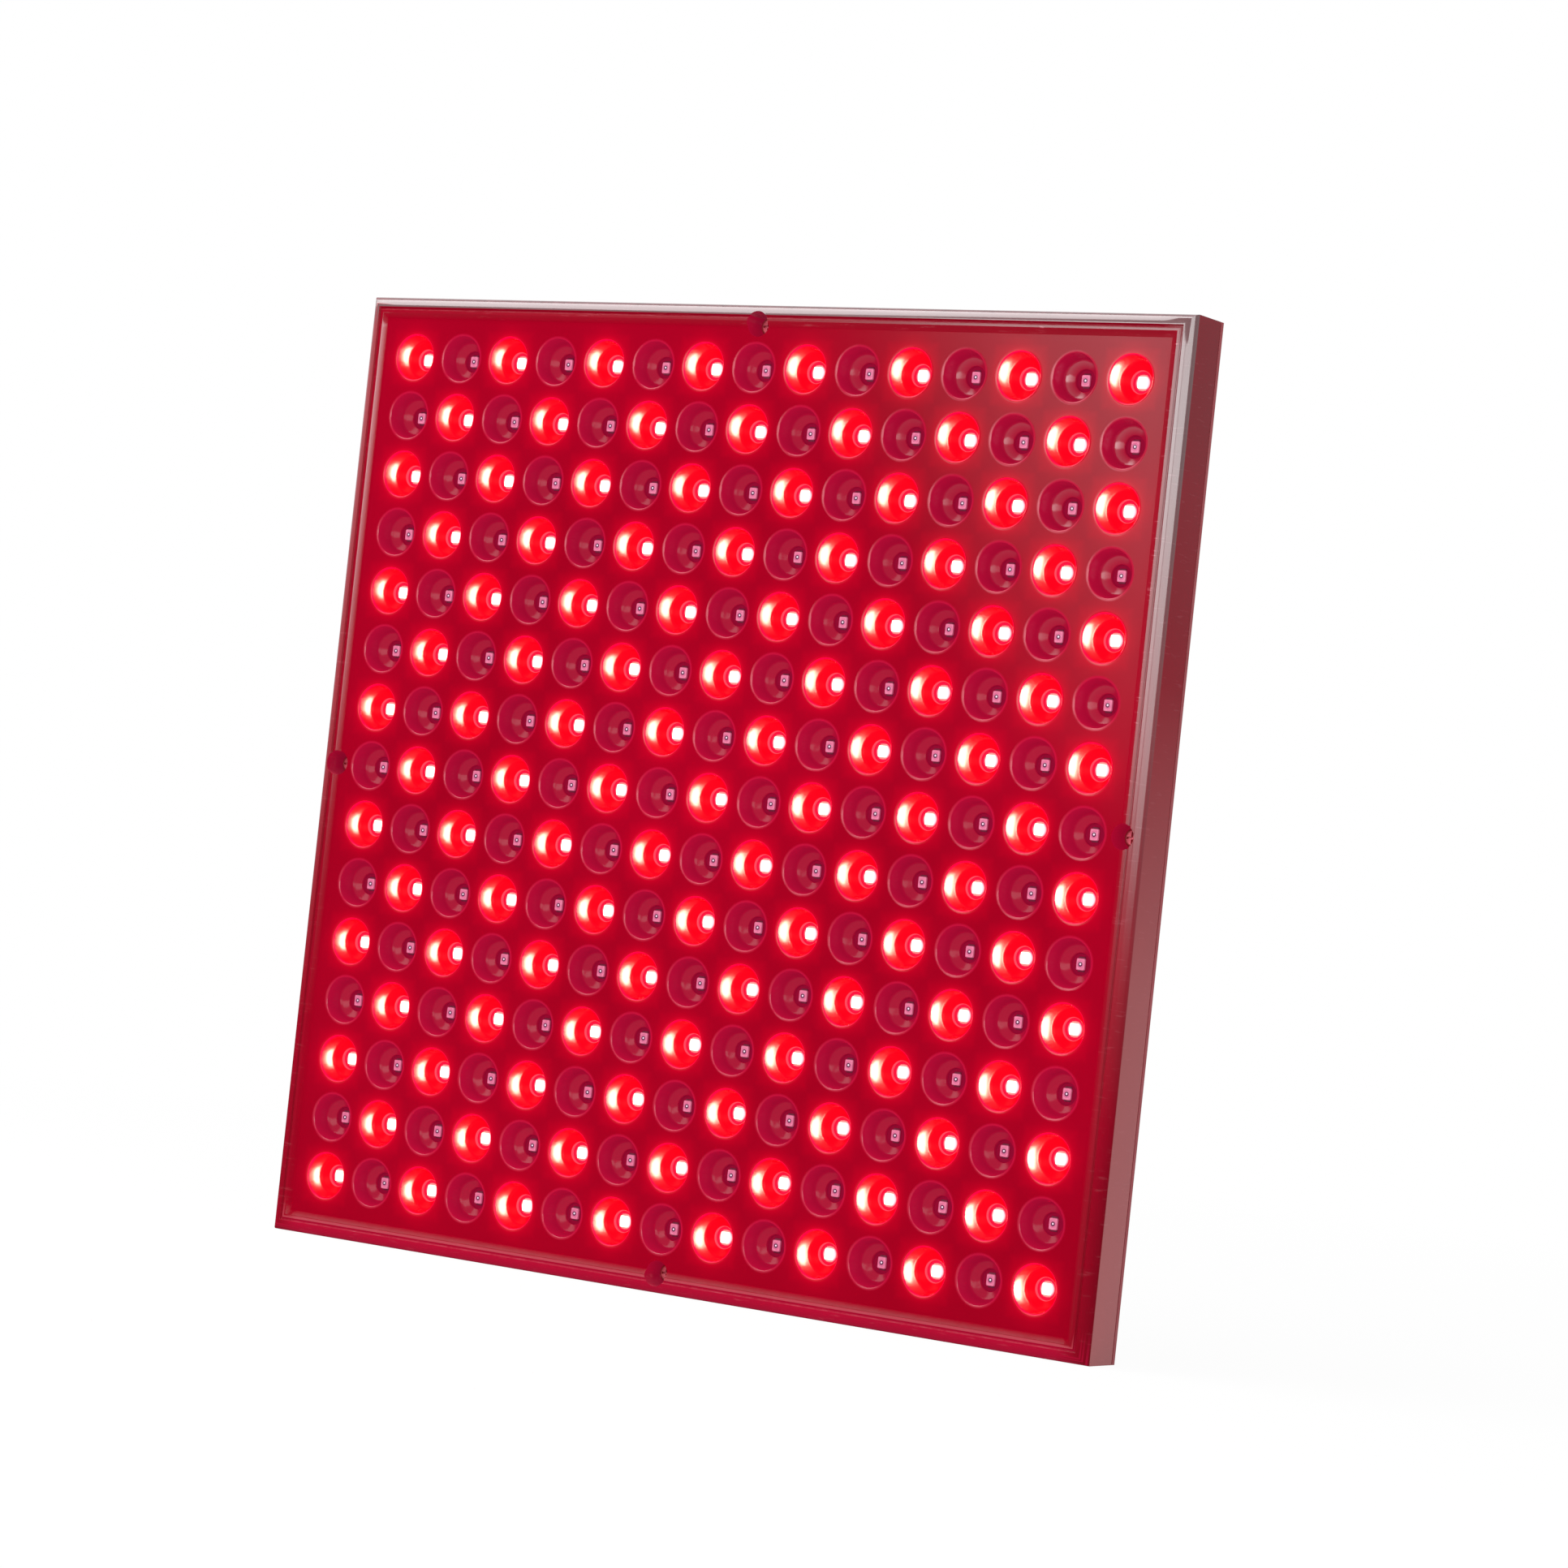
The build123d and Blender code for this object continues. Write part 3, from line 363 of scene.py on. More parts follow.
# %% [markdown]
# The front moulding: wells
#
# A screw sits deep in a round well in the middle of each side. A well crosses the groove, the slope and a
# little of the face, so a boolean is the quick and exact way to cut it through the rim. Behind the face it
# goes on as a round boss with a screw hole in its floor. The bosses reach past the rim's inner end, so they
# are closed shapes of their own that join the moulding last.

# %% Cut the wells
def round_bars(name, radius, start_y, end_y):
    """Four cylinders along Y, one in the middle of each side."""
    reach = half_side - well_inset
    shape = bmesh.new()
    along_y = Matrix.Rotation(math.pi / 2, 4, "X")
    for x, z in ((0, reach), (reach, 0), (0, -reach), (-reach, 0)):
        place = Matrix.Translation((x, (start_y + end_y) / 2, middle_z + z)) @ along_y
        bmesh.ops.create_cone(shape, cap_ends=True, segments=well_steps, radius1=radius, radius2=radius,
                              depth=end_y - start_y, matrix=place)
    mesh = bpy.data.meshes.new(name)
    shape.to_mesh(mesh)
    shape.free()
    return into_scene(name, mesh)


def cut_away(piece, cutter):
    """Cuts the second object out of the first, applies the result and deletes the second object."""
    step = piece.modifiers.new(cutter.name, "BOOLEAN")
    step.operation = "DIFFERENCE"
    step.solver = "EXACT"
    step.object = cutter
    evaluated = piece.evaluated_get(bpy.context.evaluated_depsgraph_get())
    mesh = bpy.data.meshes.new_from_object(evaluated)
    piece.modifiers.clear()
    old = piece.data
    piece.data = mesh
    bpy.data.meshes.remove(old)
    bpy.data.objects.remove(cutter)


well_end_y = board_y + well_floor
bosses = round_bars("bosses", well_radius + well_wall, plate_back_y, well_end_y)
for piece in (rim, bosses):
    cut_away(piece, round_bars("wells", well_radius, front_y - MM, board_y))
cut_away(bosses, round_bars("screw_holes", well_screw_hole, board_y - MM, well_end_y + MM))
print("the rim has", len(rim.data.polygons), "faces and the bosses", len(bosses.data.polygons))

# %% [markdown]
# The front moulding: one piece
#
# The plate and the rim are joined and welded, and the inner end of the rim's section, which is now inside
# the plastic, is deleted. The faces of the lit cups get a material number of their own.

# %% Weld the moulding
lit_vertices, lit_faces = repeat(cell_vertices, cell_faces, lit_places)
dark_vertices, dark_faces = repeat(cell_vertices, cell_faces, dark_places)
plate_faces = lit_faces + [tuple(i + len(lit_vertices) for i in face) for face in dark_faces]
plate = mesh_object("plate", np.concatenate([lit_vertices, dark_vertices]), plate_faces)

bowl_start = len(face_rings) * round_steps
bowl_end = bowl_start + (len(cup_rings) - 1) * round_steps
face_numbers = np.arange(len(plate_faces))
in_cell = face_numbers % len(cell_faces)
is_lit_bowl = (face_numbers < len(lit_faces)) & (in_cell >= bowl_start) & (in_cell < bowl_end)
plate.data.polygons.foreach_set("material_index", is_lit_bowl.astype(np.int32))


def on_seam(vertex):
    """Whether a point lies on the line where the plate meets the rim."""
    return abs(max(abs(vertex.co.x), abs(vertex.co.z - middle_z)) - grid_edge) < 0.001 * MM


shape = bmesh.new()
for piece in (rim, plate):
    shape.from_mesh(piece.data)
inner_end = [face for face in shape.faces
             if abs(face.normal.y) < 0.5 and all(on_seam(vertex) for vertex in face.verts)]
bmesh.ops.delete(shape, geom=inner_end, context="FACES")
bmesh.ops.remove_doubles(shape, verts=shape.verts, dist=weld_distance)
shape.from_mesh(bosses.data)
bmesh.ops.recalc_face_normals(shape, faces=shape.faces)
moulding_mesh = bpy.data.meshes.new("front_moulding")
shape.to_mesh(moulding_mesh)
open_edges = sum(1 for edge in shape.edges if len(edge.link_faces) != 2)
shape.free()
moulding_mesh.shade_smooth()
moulding_mesh.set_sharp_from_angle(angle=math.radians(42))
moulding = into_scene("front_moulding", moulding_mesh)
for piece in (rim, plate, bosses):
    bpy.data.objects.remove(piece)
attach(moulding, "case")
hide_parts("front_shell")
print("the moulding has", len(moulding_mesh.polygons), "faces,", len(inner_end), "deleted,",
      open_edges, "open edges")

# %% [markdown]
# The front moulding: marks for its finish
#
# A finish can read values that are stored on a mesh's points. Here they say how much of the emitters' light
# is painted on a point, how polished it is, where the plastic is painted towards a grey highlight tone, where
# the lower side wall is painted lighter as a painted haze of light, and where it is worn. They are worked out
# from where the point lies: how deep, how far from a cup or a well, and how far in from the outer edge. The
# glow in the wells ends at their edges, so that value is stored on the corners of the faces instead.

# %% Where each point of the moulding lies
def ramp(value, start, end, lowest=0.0):
    """Goes evenly from 0 at the start to 1 at the end, and no lower than the lowest value."""
    return np.clip((value - start) / (end - start), lowest, 1)


def band(distance, half_width):
    """1 in the middle of a band, and 0 from its edges on."""
    return np.clip(1 - np.abs(distance) / half_width, 0, 1)


close = 0.01 * MM
points = np.zeros(len(moulding_mesh.vertices) * 3)
moulding_mesh.vertices.foreach_get("co", points)
points = points.reshape(-1, 3)
beside, above = points[:, 0], points[:, 2] - middle_z
depth = ramp(points[:, 1], face_y, board_y)
height = points[:, 2] / (2 * half_side)
toward_corner = (beside + above) / (2 * half_side)
inset = half_side - np.maximum(np.abs(beside), np.abs(above))
nearest = np.full(len(points), 1.0)
for x, _, z in lit_places:
    nearest = np.minimum(nearest, np.hypot(points[:, 0] - x, points[:, 2] - z))
leftward, downward = (np.round(away / cup_pitch) - away / cup_pitch for away in (beside, above))
from_cup = cup_pitch * np.hypot(leftward, downward)
from_well = np.minimum(np.hypot(np.abs(beside) - (half_side - well_inset), above),
                       np.hypot(beside, np.abs(above) - (half_side - well_inset)))
print(len(points), "points, the outermost at", round(float(inset.min()) / MM, 3), "mm from the edge")

# %% Regions of the moulding
mouth_edge = mouth_radius + mouth_lip + close
inside_grid = inset > margin + close
in_cup = inside_grid & (from_cup < mouth_edge)
in_lit_cup = inside_grid & (nearest < mouth_edge)
in_dark_cup = in_cup & ~in_lit_cup
on_lip = in_cup & (from_cup > mouth_radius - 2 * close) & (depth < 0.08)

on_rim = inset < 0.98 * rim_width
on_side = inset < close
on_bead = (inset < 3.4 * MM) & ~on_side
on_slope = on_rim & (inset > 5.3 * MM)
on_shoulder = inset < 6.3 * MM
on_flat = on_rim & ~on_slope & ~on_bead & ~on_side
in_groove = on_flat & (inset < 4.5 * MM)
on_left, on_bottom, on_top = -beside > np.abs(above), -above > np.abs(beside), above > np.abs(beside)
print(int(in_dark_cup.sum()), "points in dark cups,", int(on_bead.sum()), "on the bead")

# %% How polished it is
sheen = ramp(toward_corner, 0.4, 0.9) ** 1.5
lit_lip = ramp(np.maximum(leftward, downward), 0, mouth_radius / cup_pitch) ** 6
upward = ramp(height, 0.2, 0.85, 0.04)
polish = 0.003 + 0.15 * sheen
for region, value in (
        (in_dark_cup, 0.13 + 0.9 * ramp(depth, 0.85, 0.75) * sheen),
        (in_lit_cup, ramp(depth, 0.75, 0.55, 0.04)),
        (on_lip, 0.04 + 0.2 * sheen + 0.3 * lit_lip),
        (on_rim, 0.05 + 0.5 * ramp(toward_corner, 0, 0.9) ** 1.2),
        (on_slope, 0.08),
        (on_slope & on_bottom, np.where(on_shoulder, 0.1, 0.05)),
        (on_slope & on_left, np.where(on_shoulder, 0.8, 1.0) * upward),
        (on_bead, upward),
        (on_side, np.interp(height, (0.0, 0.35, 0.65, 0.93), (0.65, 0.55, 0.22, 0.32))),
        (on_side & on_top, 0.05),
        (in_groove & on_top, 0.04),
        (on_flat & ~in_groove & on_bottom, 0.9)):
    polish = np.where(region, value, polish)
print("polish up to", round(float(polish.max()), 2))

# %% Light and tone
halo_reach = 1.6 * MM
halo = np.exp(-np.maximum(nearest - mouth_radius - mouth_lip, 0) / halo_reach) * (1 - depth)
# Painted highlight tone: where the lamps' highlights fall, high on the bead and towards the top right corner on
# the bead and the flats, the red is painted out towards a dark grey, and the emitters' painted light is turned
# down with it, so that the highlights read grey.
highlight_tone_mask = np.where(on_bead & ~on_left, 0.85 * ramp(height, 0.35, 0.85), 0.4 * ramp(toward_corner, 0.2, 0.8))
highlight_tone_mask = np.where(on_bead | on_flat, highlight_tone_mask, 0.0)
rim_share = ramp(inset, rim_width, 0)
spill = (1 - 0.5 * depth) * (1 - rim_share) ** 2 * (1 - np.maximum(highlight_tone_mask, 0.35 * sheen))
spill[in_dark_cup] = 0.0
highlight_tone_mask[in_groove & on_top] = 0.0
# Painted red light in the dark cups, fainter deeper down; the bottom rim's bead and flats are painted with it
# too.
cup_glow = np.where(in_dark_cup, 1 - 0.25 * depth, 0.0)
cup_glow[on_bottom & (on_bead | on_flat)] = 0.65
marks = {
    "led_halo": halo, "led_spill": spill, "polish": polish, "highlight_tone_mask": highlight_tone_mask, "on_rim": ramp(rim_share, 0, 0.3),
    "cup_mouth": band(nearest - mouth_radius - 0.1 * MM, 0.3 * MM),
    "neck_edge": band(from_cup - neck_radius, 0.15 * MM) * in_cup * (depth > 0.7),
    # Painted haze: the side wall is painted lighter towards the bottom, standing in for the light that it
    # reflects there.
    "side_haze_mask": np.where(on_side, np.interp(height, (0.1, 0.35, 0.65), (1.0, 0.7, 0.0)), 0.0),
    "worn": band(inset - 5.2 * MM, 0.7 * MM) * ramp(toward_corner, 0.3, 0.7),
}
for name, values in marks.items():
    layer = moulding_mesh.attributes.new(name, "FLOAT", "POINT")
    layer.data.foreach_set("value", values.astype(np.float32))
print("halo up to", round(float(halo.max()), 2), "spill up to", round(float(spill.max()), 2))

# %% The glow in the wells
corner_points = np.zeros(len(moulding_mesh.loops), dtype=np.int32)
moulding_mesh.loops.foreach_get("vertex_index", corner_points)
corner_counts = np.zeros(len(moulding_mesh.polygons), dtype=np.int32)
moulding_mesh.polygons.foreach_get("loop_total", corner_counts)
first_corners = np.cumsum(corner_counts) - corner_counts
farthest = np.maximum.reduceat(from_well[corner_points], first_corners)
deepest = np.maximum.reduceat(depth[corner_points], first_corners)
well_faces = (farthest < well_radius + close) & (deepest > 0.2)
corner_glow = np.where(np.repeat(well_faces, corner_counts), 0.7, cup_glow[corner_points])
layer = moulding_mesh.attributes.new("cup_glow", "FLOAT", "CORNER")
layer.data.foreach_set("value", corner_glow.astype(np.float32))
print(int(well_faces.sum()), "faces in the wells")

# %% [markdown]
# The emitters
#
# Behind each hole sits a surface-mounted emitter: a small moulded package with a round window of clear
# resin and a chip in it, on two solder pads. The packages are rounded blocks with a funnel-shaped cavity, the
# windows are slightly domed, and the chip is a little square that shows through the resin.

# %% Shapes of one emitter
package_half_width = (package_high.x - package_low.x - (cups_each_way - 1) * cup_pitch) / 2
lead_half_height = (package_high.z - package_low.z - (cups_each_way - 1) * cup_pitch) / 2
package_half_height = 1.75 * MM
lead_half_width = 1.2 * MM
lead_thickness = 0.2 * MM
lead_corner = 0.1 * MM
package_front_y = package_low.y
cavity_rim_y = package_front_y + 0.05 * MM
floor_y = package_front_y + 0.4 * MM
package_corner = 0.35 * MM
package_bevel = 0.12 * MM
dome_rise = 0.06 * MM
chip_half = 0.42 * MM
chip_thickness = 0.16 * MM

package = stack([
    squared(package_half_width, package_half_height, board_y - lead_thickness, package_corner),
    squared(package_half_width, package_half_height, package_front_y + package_bevel, package_corner),
    squared(package_half_width - package_bevel, package_half_height - package_bevel, package_front_y,
            package_corner),
    circle(window_radius + 0.05 * MM, package_front_y),
    circle(window_radius, cavity_rim_y),
    circle(0.85 * window_radius, floor_y),
], close_end=True)
pads = stack([
    squared(lead_half_width, lead_half_height, board_y, lead_corner),
    squared(lead_half_width, lead_half_height, board_y - 0.05 * MM, lead_corner),
    squared(lead_half_width - 0.1 * MM, lead_half_height - 0.12 * MM, board_y - lead_thickness, lead_corner),
], close_end=True)
window = stack([circle(window_radius, cavity_rim_y)] + [
    circle(window_radius * share, package_front_y - dome_rise * (1 - share ** 2)) for share in (0.85, 0.6, 0.3)
], close_end=True)
chip = stack([squared(chip_half, chip_half, y) for y in (floor_y, floor_y - chip_thickness)], close_end=True)
print("package", round(2 * package_half_width / MM, 2), "by", round(2 * package_half_height / MM, 2), "mm")

# %% Copies in every cup
def emitter_piece(name, parts, places, node):
    """Joins the copies of one or more small meshes, with a material number for each mesh."""
    vertices, faces, numbers = [], [], []
    count = 0
    for number, (part_vertices, part_faces) in enumerate(parts):
        copied, copied_faces = repeat(part_vertices, part_faces, places)
        vertices.append(copied)
        faces += [tuple(index + count for index in face) for face in copied_faces]
        numbers += [number] * len(copied_faces)
        count += len(copied)
    piece = mesh_object(name, np.concatenate(vertices), faces, sharp_angle=50)
    piece.data.polygons.foreach_set("material_index", numbers)
    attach(piece, "case")
    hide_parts(node)
    print(name, len(faces), "faces")
    return piece


red_packages = emitter_piece(
    "red_packages", (package, pads), lit_places, "red_emitter_packages")
red_windows = emitter_piece(
    "red_windows", (window, chip), lit_places, "red_emitter_windows")
infrared_packages = emitter_piece(
    "infrared_packages", (package, pads), dark_places, "infrared_emitter_packages")
infrared_windows = emitter_piece(
    "infrared_windows", (window, chip), dark_places, "infrared_emitter_windows")

# %% [markdown]
# Effects that several finishes share
#
# Moulded plastic is never one flat colour: its tone drifts a little over a hand's width, its gloss changes
# over a finger's width, and it has a fine grain. Plated metal is cloudy and has fine scratches. Dust settles
# on ledges. Each of these is a node group that puts out colours, masks and heights, so that a material
# only has to place it and say how much. All of them read object coordinates, which are metres here,
# so the scales are real sizes and the patterns stay on the pieces when they move.

# %% Helpers for nodes
def fill(tree, sockets, values):
    """Sets a node's inputs to plain values, or links them to other nodes' outputs."""
    for name, value in values.items():
        if isinstance(value, bpy.types.NodeSocket):
            tree.links.new(value, sockets[name])
        else:
            sockets[name].default_value = value


def node(tree, kind, inputs=None, **settings):
    """A new node with its settings and its inputs."""
    made = tree.nodes.new("ShaderNode" + kind)
    for name, value in settings.items():
        setattr(made, name, value)
    fill(tree, made.inputs, inputs or {})
    return made


def new_group(name, inputs, outputs):
    """An empty shader group with named inputs and outputs, and the two nodes at its ends."""
    tree = bpy.data.node_groups.new(name, "ShaderNodeTree")
    for label, value in inputs.items():
        kind = "NodeSocketColor" if isinstance(value, tuple) else "NodeSocketFloat"
        tree.interface.new_socket(label, in_out="INPUT", socket_type=kind).default_value = value
    for label, kind in outputs.items():
        tree.interface.new_socket(label, in_out="OUTPUT", socket_type="NodeSocket" + kind)
    return tree, tree.nodes.new("NodeGroupInput").outputs, tree.nodes.new("NodeGroupOutput").inputs


def place_group(tree, group, inputs=None):
    """A group placed in a material, with its own values."""
    return node(tree, "Group", inputs, node_tree=group)


def mix_colors(tree, share, first, second, blend="MIX"):
    """The output of a colour mix."""
    made = node(tree, "Mix", {0: share, 6: first, 7: second}, data_type="RGBA", blend_type=blend)
    return made.outputs[2]


def spread(tree, value, low, high, new_low=0.0, new_high=1.0):
    """The output of a node that maps one range to another."""
    made = node(tree, "MapRange", {
        "Value": value, "From Min": low, "From Max": high, "To Min": new_low, "To Max": new_high})
    return made.outputs["Result"]


def arithmetic(tree, operation, first, second=0.0):
    """The output of a math node."""
    return node(tree, "Math", {0: first, 1: second}, operation=operation).outputs[0]


def place_on(tree):
    """Where a point lies on its piece, in metres."""
    return node(tree, "TexCoord").outputs["Object"]


def mark(tree, name):
    """A value that is stored on the mesh."""
    return node(tree, "Attribute", attribute_name=name).outputs["Fac"]


def end_pattern(group, given, out, tone_share, swing, height):
    """Ends a pattern's group: two tones mixed, a roughness that swings round its own value, and a height."""
    change = arithmetic(group, "MULTIPLY", swing, given["Roughness Change"])
    fill(group, out, {
        "Color": mix_colors(group, tone_share, given["Tone"], given["Other Tone"]),
        "Roughness": arithmetic(group, "ADD", given["Roughness"], change),
        "Height": height})
    print("group", group.name)

# %% Grain of moulded plastic
grain_group, given, out = new_group(
    "moulded_grain",
    {"Tone": (0.5, 0.5, 0.5, 1), "Other Tone": (0.4, 0.4, 0.4, 1), "Patch Scale": 12.0, "Grain Scale": 2500.0,
     "Roughness": 0.4, "Roughness Change": 0.1},
    {"Color": "Color", "Roughness": "Float", "Height": "Float"})
here = place_on(grain_group)
patches = node(grain_group, "TexNoise", {"Vector": here, "Scale": given["Patch Scale"], "Detail": 3.0})
smears = node(grain_group, "TexNoise", {"Vector": here, "Scale": 90.0, "Detail": 4.0, "Distortion": 0.6})
fine = node(grain_group, "TexNoise", {"Vector": here, "Scale": given["Grain Scale"], "Detail": 2.0})
end_pattern(grain_group, given, out, spread(grain_group, patches.outputs["Fac"], 0.35, 0.65),
            spread(grain_group, smears.outputs["Fac"], 0.3, 0.7, -1.0, 1.0), fine.outputs["Fac"])

# %% Clouds and scratches of plated metal
plating_group, given, out = new_group(
    "plated_metal",
    {"Tone": (0.6, 0.6, 0.6, 1), "Other Tone": (0.5, 0.5, 0.5, 1), "Cloud Scale": 350.0, "Roughness": 0.3,
     "Roughness Change": 0.1},
    {"Color": "Color", "Roughness": "Float", "Height": "Float"})
here = place_on(plating_group)
clouds = node(plating_group, "TexNoise", {
    "Vector": here, "Scale": given["Cloud Scale"], "Detail": 5.0, "Roughness": 0.65}).outputs["Fac"]
stretched = node(plating_group, "Mapping", {
    "Vector": here, "Rotation": (0.3, 0.5, 0.9), "Scale": (4000.0, 300.0, 300.0)}).outputs[0]
scratches = node(plating_group, "TexNoise", {"Vector": stretched, "Scale": 1.0, "Detail": 2.0})
end_pattern(plating_group, given, out, spread(plating_group, clouds, 0.3, 0.7),
            spread(plating_group, clouds, 0.3, 0.7, -1.0, 1.0), scratches.outputs["Fac"])

# %% Dust on ledges and scuffs on edges
dust_group, given, out = new_group(
    "dust_and_scuffs",
    {"Color": (0.5, 0.5, 0.5, 1), "Dust Color": (0.6, 0.58, 0.56, 1), "Dust": 0.3, "Scuffs": 0.2},
    {"Color": "Color"})
here = place_on(dust_group)
facing = node(dust_group, "SeparateXYZ", {0: node(dust_group, "NewGeometry").outputs["Normal"]}).outputs["Z"]
lying = node(dust_group, "TexNoise", {"Vector": here, "Scale": 260.0, "Detail": 6.0, "Roughness": 0.7})
lies = arithmetic(dust_group, "MULTIPLY", spread(dust_group, facing, 0.35, 1.0),
                  spread(dust_group, lying.outputs["Fac"], 0.3, 0.75))
rubbed_here = node(dust_group, "Mapping", {
    "Vector": here, "Rotation": (0.0, 0.6, 0.2), "Scale": (150.0, 150.0, 1100.0)}).outputs[0]
rubbed = node(dust_group, "TexNoise", {"Vector": rubbed_here, "Scale": 1.0, "Detail": 5.0, "Roughness": 0.6})
scuffed = spread(dust_group, rubbed.outputs["Fac"], 0.6, 0.8)
mask = arithmetic(dust_group, "MAXIMUM",
                  arithmetic(dust_group, "MULTIPLY", lies, given["Dust"]),
                  arithmetic(dust_group, "MULTIPLY", scuffed, given["Scuffs"]))
dust_group.links.new(mix_colors(dust_group, mask, given["Color"], given["Dust Color"]), out["Color"])
print("group", dust_group.name)

# %% Light that the moulding picks up from the emitters
spill_group, given, out = new_group(
    "light_from_emitters",
    {"Spill": (0.075, 0.0, 0.001, 1), "Halo": (0.3, 0.0, 0.004, 1), "Cup Glow": (0.25, 0.0035, 0.028, 1)},
    {"Color": "Color"})
no_light = (0, 0, 0, 1)
picked_up = no_light
for name, label in (("led_spill", "Spill"), ("led_halo", "Halo"), ("cup_glow", "Cup Glow")):
    part = mix_colors(spill_group, mark(spill_group, name), no_light, given[label])
    picked_up = mix_colors(spill_group, 1.0, picked_up, part, "ADD")
spill_group.links.new(picked_up, out["Color"])
print("group", spill_group.name)

# %% Where a point lies in its cup
cup_group, given, out = new_group(
    "place_in_cup", {}, {"Distance": "Float", "Dot Distance": "Float", "Lit": "Float"})
here = node(cup_group, "SeparateXYZ", {0: place_on(cup_group)}).outputs
from_centre, cup_numbers = [], []
for value in (here["X"], arithmetic(cup_group, "SUBTRACT", here["Z"], middle_z)):
    cups_over = arithmetic(cup_group, "DIVIDE", value, cup_pitch)
    cup_numbers.append(arithmetic(cup_group, "ROUND", cups_over))
    part_of_pitch = arithmetic(cup_group, "SUBTRACT", cups_over, cup_numbers[-1])
    from_centre.append(arithmetic(cup_group, "MULTIPLY", part_of_pitch, cup_pitch))
flat_place = node(cup_group, "CombineXYZ", {"X": from_centre[0], "Y": from_centre[1]}).outputs[0]
dot_place = (0.0, 0.05 * MM, 0.0)
odd_cup = arithmetic(cup_group, "PINGPONG", arithmetic(cup_group, "ADD", *cup_numbers), 1.0)
for label, centre in (("Distance", (0, 0, 0)), ("Dot Distance", dot_place)):
    distance = node(cup_group, "VectorMath", {0: flat_place, 1: centre}, operation="DISTANCE")
    cup_group.links.new(distance.outputs["Value"], out[label])
cup_group.links.new(arithmetic(cup_group, "SUBTRACT", 1.0, odd_cup), out["Lit"])
print("group", cup_group.name)

# %% [markdown]
# Finishes
#
# Every finish is a Principled shader. Values that are the same all over go on the shader's own sockets, and
# the groups feed only what changes over the surface. One function makes the shader and its grain, and the
# table after it holds the plain finishes, which differ only in their numbers.

# %% One function for a finish
def feed(tree, socket, value):
    """Links a value to an input of the material's shader."""
    tree.links.new(value, tree.nodes["Principled BSDF"].inputs[socket])


def finish(name, group, pattern, sockets, bump=0.0, bump_distance=0.02 * MM, dust=None):
    """A material with one of the shared patterns, and its shader's own sockets."""
    material = bpy.data.materials.new(name)
    material.use_nodes = True
    tree = material.node_tree
    tree.nodes.clear()
    shader = node(tree, "BsdfPrincipled", sockets)
    node(tree, "OutputMaterial", {"Surface": shader.outputs["BSDF"]})
    placed = place_group(tree, group, pattern)
    placed.name = "pattern"
    color = placed.outputs["Color"]
    if dust:
        dusty = place_group(tree, dust_group, {"Color": color, **dust})
        dusty.name = "dust"
        color = dusty.outputs["Color"]
    feed(tree, "Base Color", color)
    feed(tree, "Roughness", placed.outputs["Roughness"])
    if bump:
        raised = node(tree, "Bump", {
            "Height": placed.outputs["Height"], "Strength": bump, "Distance": bump_distance})
        feed(tree, "Normal", raised.outputs["Normal"])
    return material


def tones(color, other, roughness, change, **scales):
    """The inputs of a pattern group, with colours given as three numbers."""
    pattern = {"Tone": (*color, 1), "Other Tone": (*other, 1), "Roughness": roughness, "Roughness Change": change}
    return pattern | {name.replace("_", " "): value for name, value in scales.items()}


def dress(material, *names):
    """Gives a material to whole pieces of the frame."""
    for name in names:
        materials = nodes[name].data.materials
        materials.clear()
        materials.append(material)


def dress_by_table(table, group, **scales):
    """Makes the finish in each row of a table and gives it to the row's pieces."""
    for name, tone, other_tone, roughness, change, bump, sockets, names in table:
        pattern = tones(tone, other_tone, roughness, change, **scales)
        dress(finish(name, group, pattern, sockets, bump=bump), *names)
    print(len(table), "finishes from a table")


print("finishes are made by one function")

# %% [markdown]
# The front moulding's plastic
#
# In the photograph the plastic is seen in its own red light, so it is a deep crimson, darker in the unlit
# cups and brighter round the lit ones. The flat face is satin, while the rim and the cups are smoother, so
# a thin clear coat, masked to those places, gives them sharp highlights.

# %% Plastic of the front moulding
shell_finish = finish(
    "front_plastic", grain_group,
    tones((0.19, 0.0004, 0.009), (0.15, 0.0003, 0.007), 0.34, 0.05, Patch_Scale=9.0, Grain_Scale=1800.0),
    {"Specular IOR Level": 0.0, "Coat Roughness": 0.14, "Coat IOR": 1.7, "Emission Strength": 1.0},
    bump=0.05, dust={"Dust Color": (0.5, 0.2, 0.24, 1)})
# Painted highlight tone: the dark grey that the red plastic is painted towards where the lamps' highlights fall.
painted_highlight_tone = (0.07, 0.03, 0.033, 1)
# Painted haze: the lighter mauve that the lower side wall is painted with.
painted_haze_tone = (0.28, 0.05, 0.055, 1)
tree = shell_finish.node_tree
feed(tree, "Emission Color", place_group(tree, spill_group).outputs["Color"])
feed(tree, "Coat Weight", mark(tree, "polish"))
rim_here = mark(tree, "on_rim")
tone = mix_colors(tree, mark(tree, "highlight_tone_mask"), tree.nodes["pattern"].outputs["Color"], painted_highlight_tone)
fill(tree, tree.nodes["dust"].inputs, {
    "Color": mix_colors(tree, mark(tree, "side_haze_mask"), tone, painted_haze_tone),
    "Dust": arithmetic(tree, "MULTIPLY", rim_here, 0.3),
    "Scuffs": arithmetic(tree, "MAXIMUM", arithmetic(tree, "MULTIPLY", rim_here, 0.12), mark(tree, "worn"))})
print("front plastic done")

